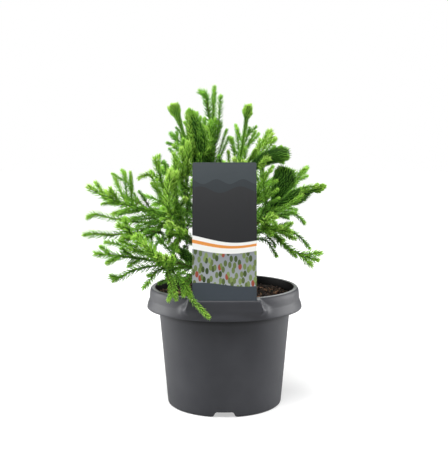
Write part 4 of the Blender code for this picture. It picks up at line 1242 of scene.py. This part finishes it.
def join_stems(finishes):
    """The stems of all shoots as one joined mesh."""
    starts = np.cumsum([0, *(len(points) for points, _, _ in stems[:-1])])
    points = np.concatenate([points for points, _, _ in stems])
    faces = np.concatenate([faces + start for (_, faces, _), start in zip(stems, starts)])
    kinds = np.concatenate([np.full(len(faces), kind) for _, faces, kind in stems])
    mesh = mesh_of_triangles("twigs", points, faces, kinds)
    mesh.shade_smooth()
    seat_piece("twigs", mesh, finishes)


def studio():
    """A pale floor and soft light from both sides and above, and the camera at the photograph's angle."""
    scene = bpy.context.scene
    scene.view_settings.view_transform = "Standard"
    world = bpy.data.worlds.new("studio")
    scene.world = world
    world.use_nodes = True
    tree = world.node_tree
    seen = add_node(tree, "LightPath", {}).outputs["Is Camera Ray"]
    level = add_node(tree, "MapRange", {"Value": seen, "To Min": ROOM_LIGHT, "To Max": 1.0})
    feed(tree, tree.nodes["Background"], {"Color": (1, 1, 1, 1), "Strength": level})
    for name, place, size, power in SOFTBOXES:
        lamp = bpy.data.lights.new(name, "AREA")
        lamp.shape = "SQUARE"
        lamp.size = size
        lamp.energy = power
        light = bpy.data.objects.new(name, lamp)
        light.location = place
        light.rotation_euler = (Vector(LAMP_AIM) - Vector(place)).to_track_quat("-Z", "Y").to_euler()
        scene.collection.objects.link(light)
    inputs = {"Base Color": (0.5, 0.5, 0.5, 1), "Roughness": 0.9, "Emission Color": (1, 1, 1, 1)}
    floor_paint, tree, shader, place, _ = new_finish("floor_paint", inputs)
    reach = add_node(tree, "VectorMath", {0: place}, operation="LENGTH")
    near, far = FLOOR_FADE
    low, high = FLOOR_GLOW
    fade = {"Value": reach, "From Min": near, "From Max": far, "To Min": low, "To Max": high}
    seen = add_node(tree, "LightPath", {}).outputs["Is Camera Ray"]
    glow = add_node(tree, "Math", {0: seen, 1: add_node(tree, "MapRange", fade)}, operation="MULTIPLY")
    feed(tree, shader, {"Emission Strength": glow})
    bm = bmesh.new()
    bmesh.ops.create_circle(bm, cap_ends=True, segments=96, radius=FLOOR_RADIUS)
    floor = bpy.data.objects.new("floor", drawn_mesh("floor", bm, 30))
    floor.data.materials.append(floor_paint)
    scene.collection.objects.link(floor)
    lens = bpy.data.cameras.new("camera")
    lens.lens = CAMERA_LENS
    lens.sensor_width = 36.0
    lens.clip_start = 0.05
    lens.clip_end = 30.0
    camera = bpy.data.objects.new("camera", lens)
    camera.location = CAMERA_PLACE
    camera.rotation_euler = (CAMERA_TILT, 0, 0)
    scene.collection.objects.link(camera)
    scene.camera = camera


studio()
make_pot(
    moulded_polypropylene("moulded_polypropylene", "#343539", "#3d3e42", "#8a8b8c", 0.25),
    # The inside finish is painted near black: painted shade of the unlit inside.
    moulded_polypropylene("polypropylene_painted_shade", "#050505", "#090909", "#101010", 0.04),
)
make_card(
    printed_card("card_print_front", card_front_design), printed_card("card_print_back", card_back_design)
)
compost = bark_compost("compost_fine", "#0d0907", "#2e221c", 2.0)
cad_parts["root_ball"].material_slots[0].material = compost
make_chips([bark_compost(*row) for row in CHIP_BARKS])
lines, radii = limb_lines()
make_limbs(lines, radii, stringy_bark("bark_stringy", "#33241b", "#7a604a", 0.8))
# The joined mesh that holds each limb's and each mass's needles: its limb's, apart from two masses.
piece_of = {"trunk": "top_right", **{name: row[-1] for name, row in BOUGHS.items()}}
piece_of.update({name: piece_of[row[0]] for name, row in MASSES.items()})
piece_of.update({"comb_right": "right", "spray_back_high": "back_left"})
bodies = grow_plant(lines, radii, piece_of)
join_needles(piece_of, [living_green(*row) for row in NEEDLE_GREENS])
young_stem = living_green("stem_green", "#4f6e2a", "#6b8a3c", 0.55)
join_stems([young_stem, living_green("stem_brown", "#3f3322", "#5d4a30", 0.7)])
bmesh.ops.recalc_face_normals(bodies, faces=bodies.faces)
crest_skin = living_green("crest_skin", "#233f14", "#33561d", 0.6)
seat_piece("crest_bodies", drawn_mesh("crest_bodies", bodies, 60), [crest_skin])
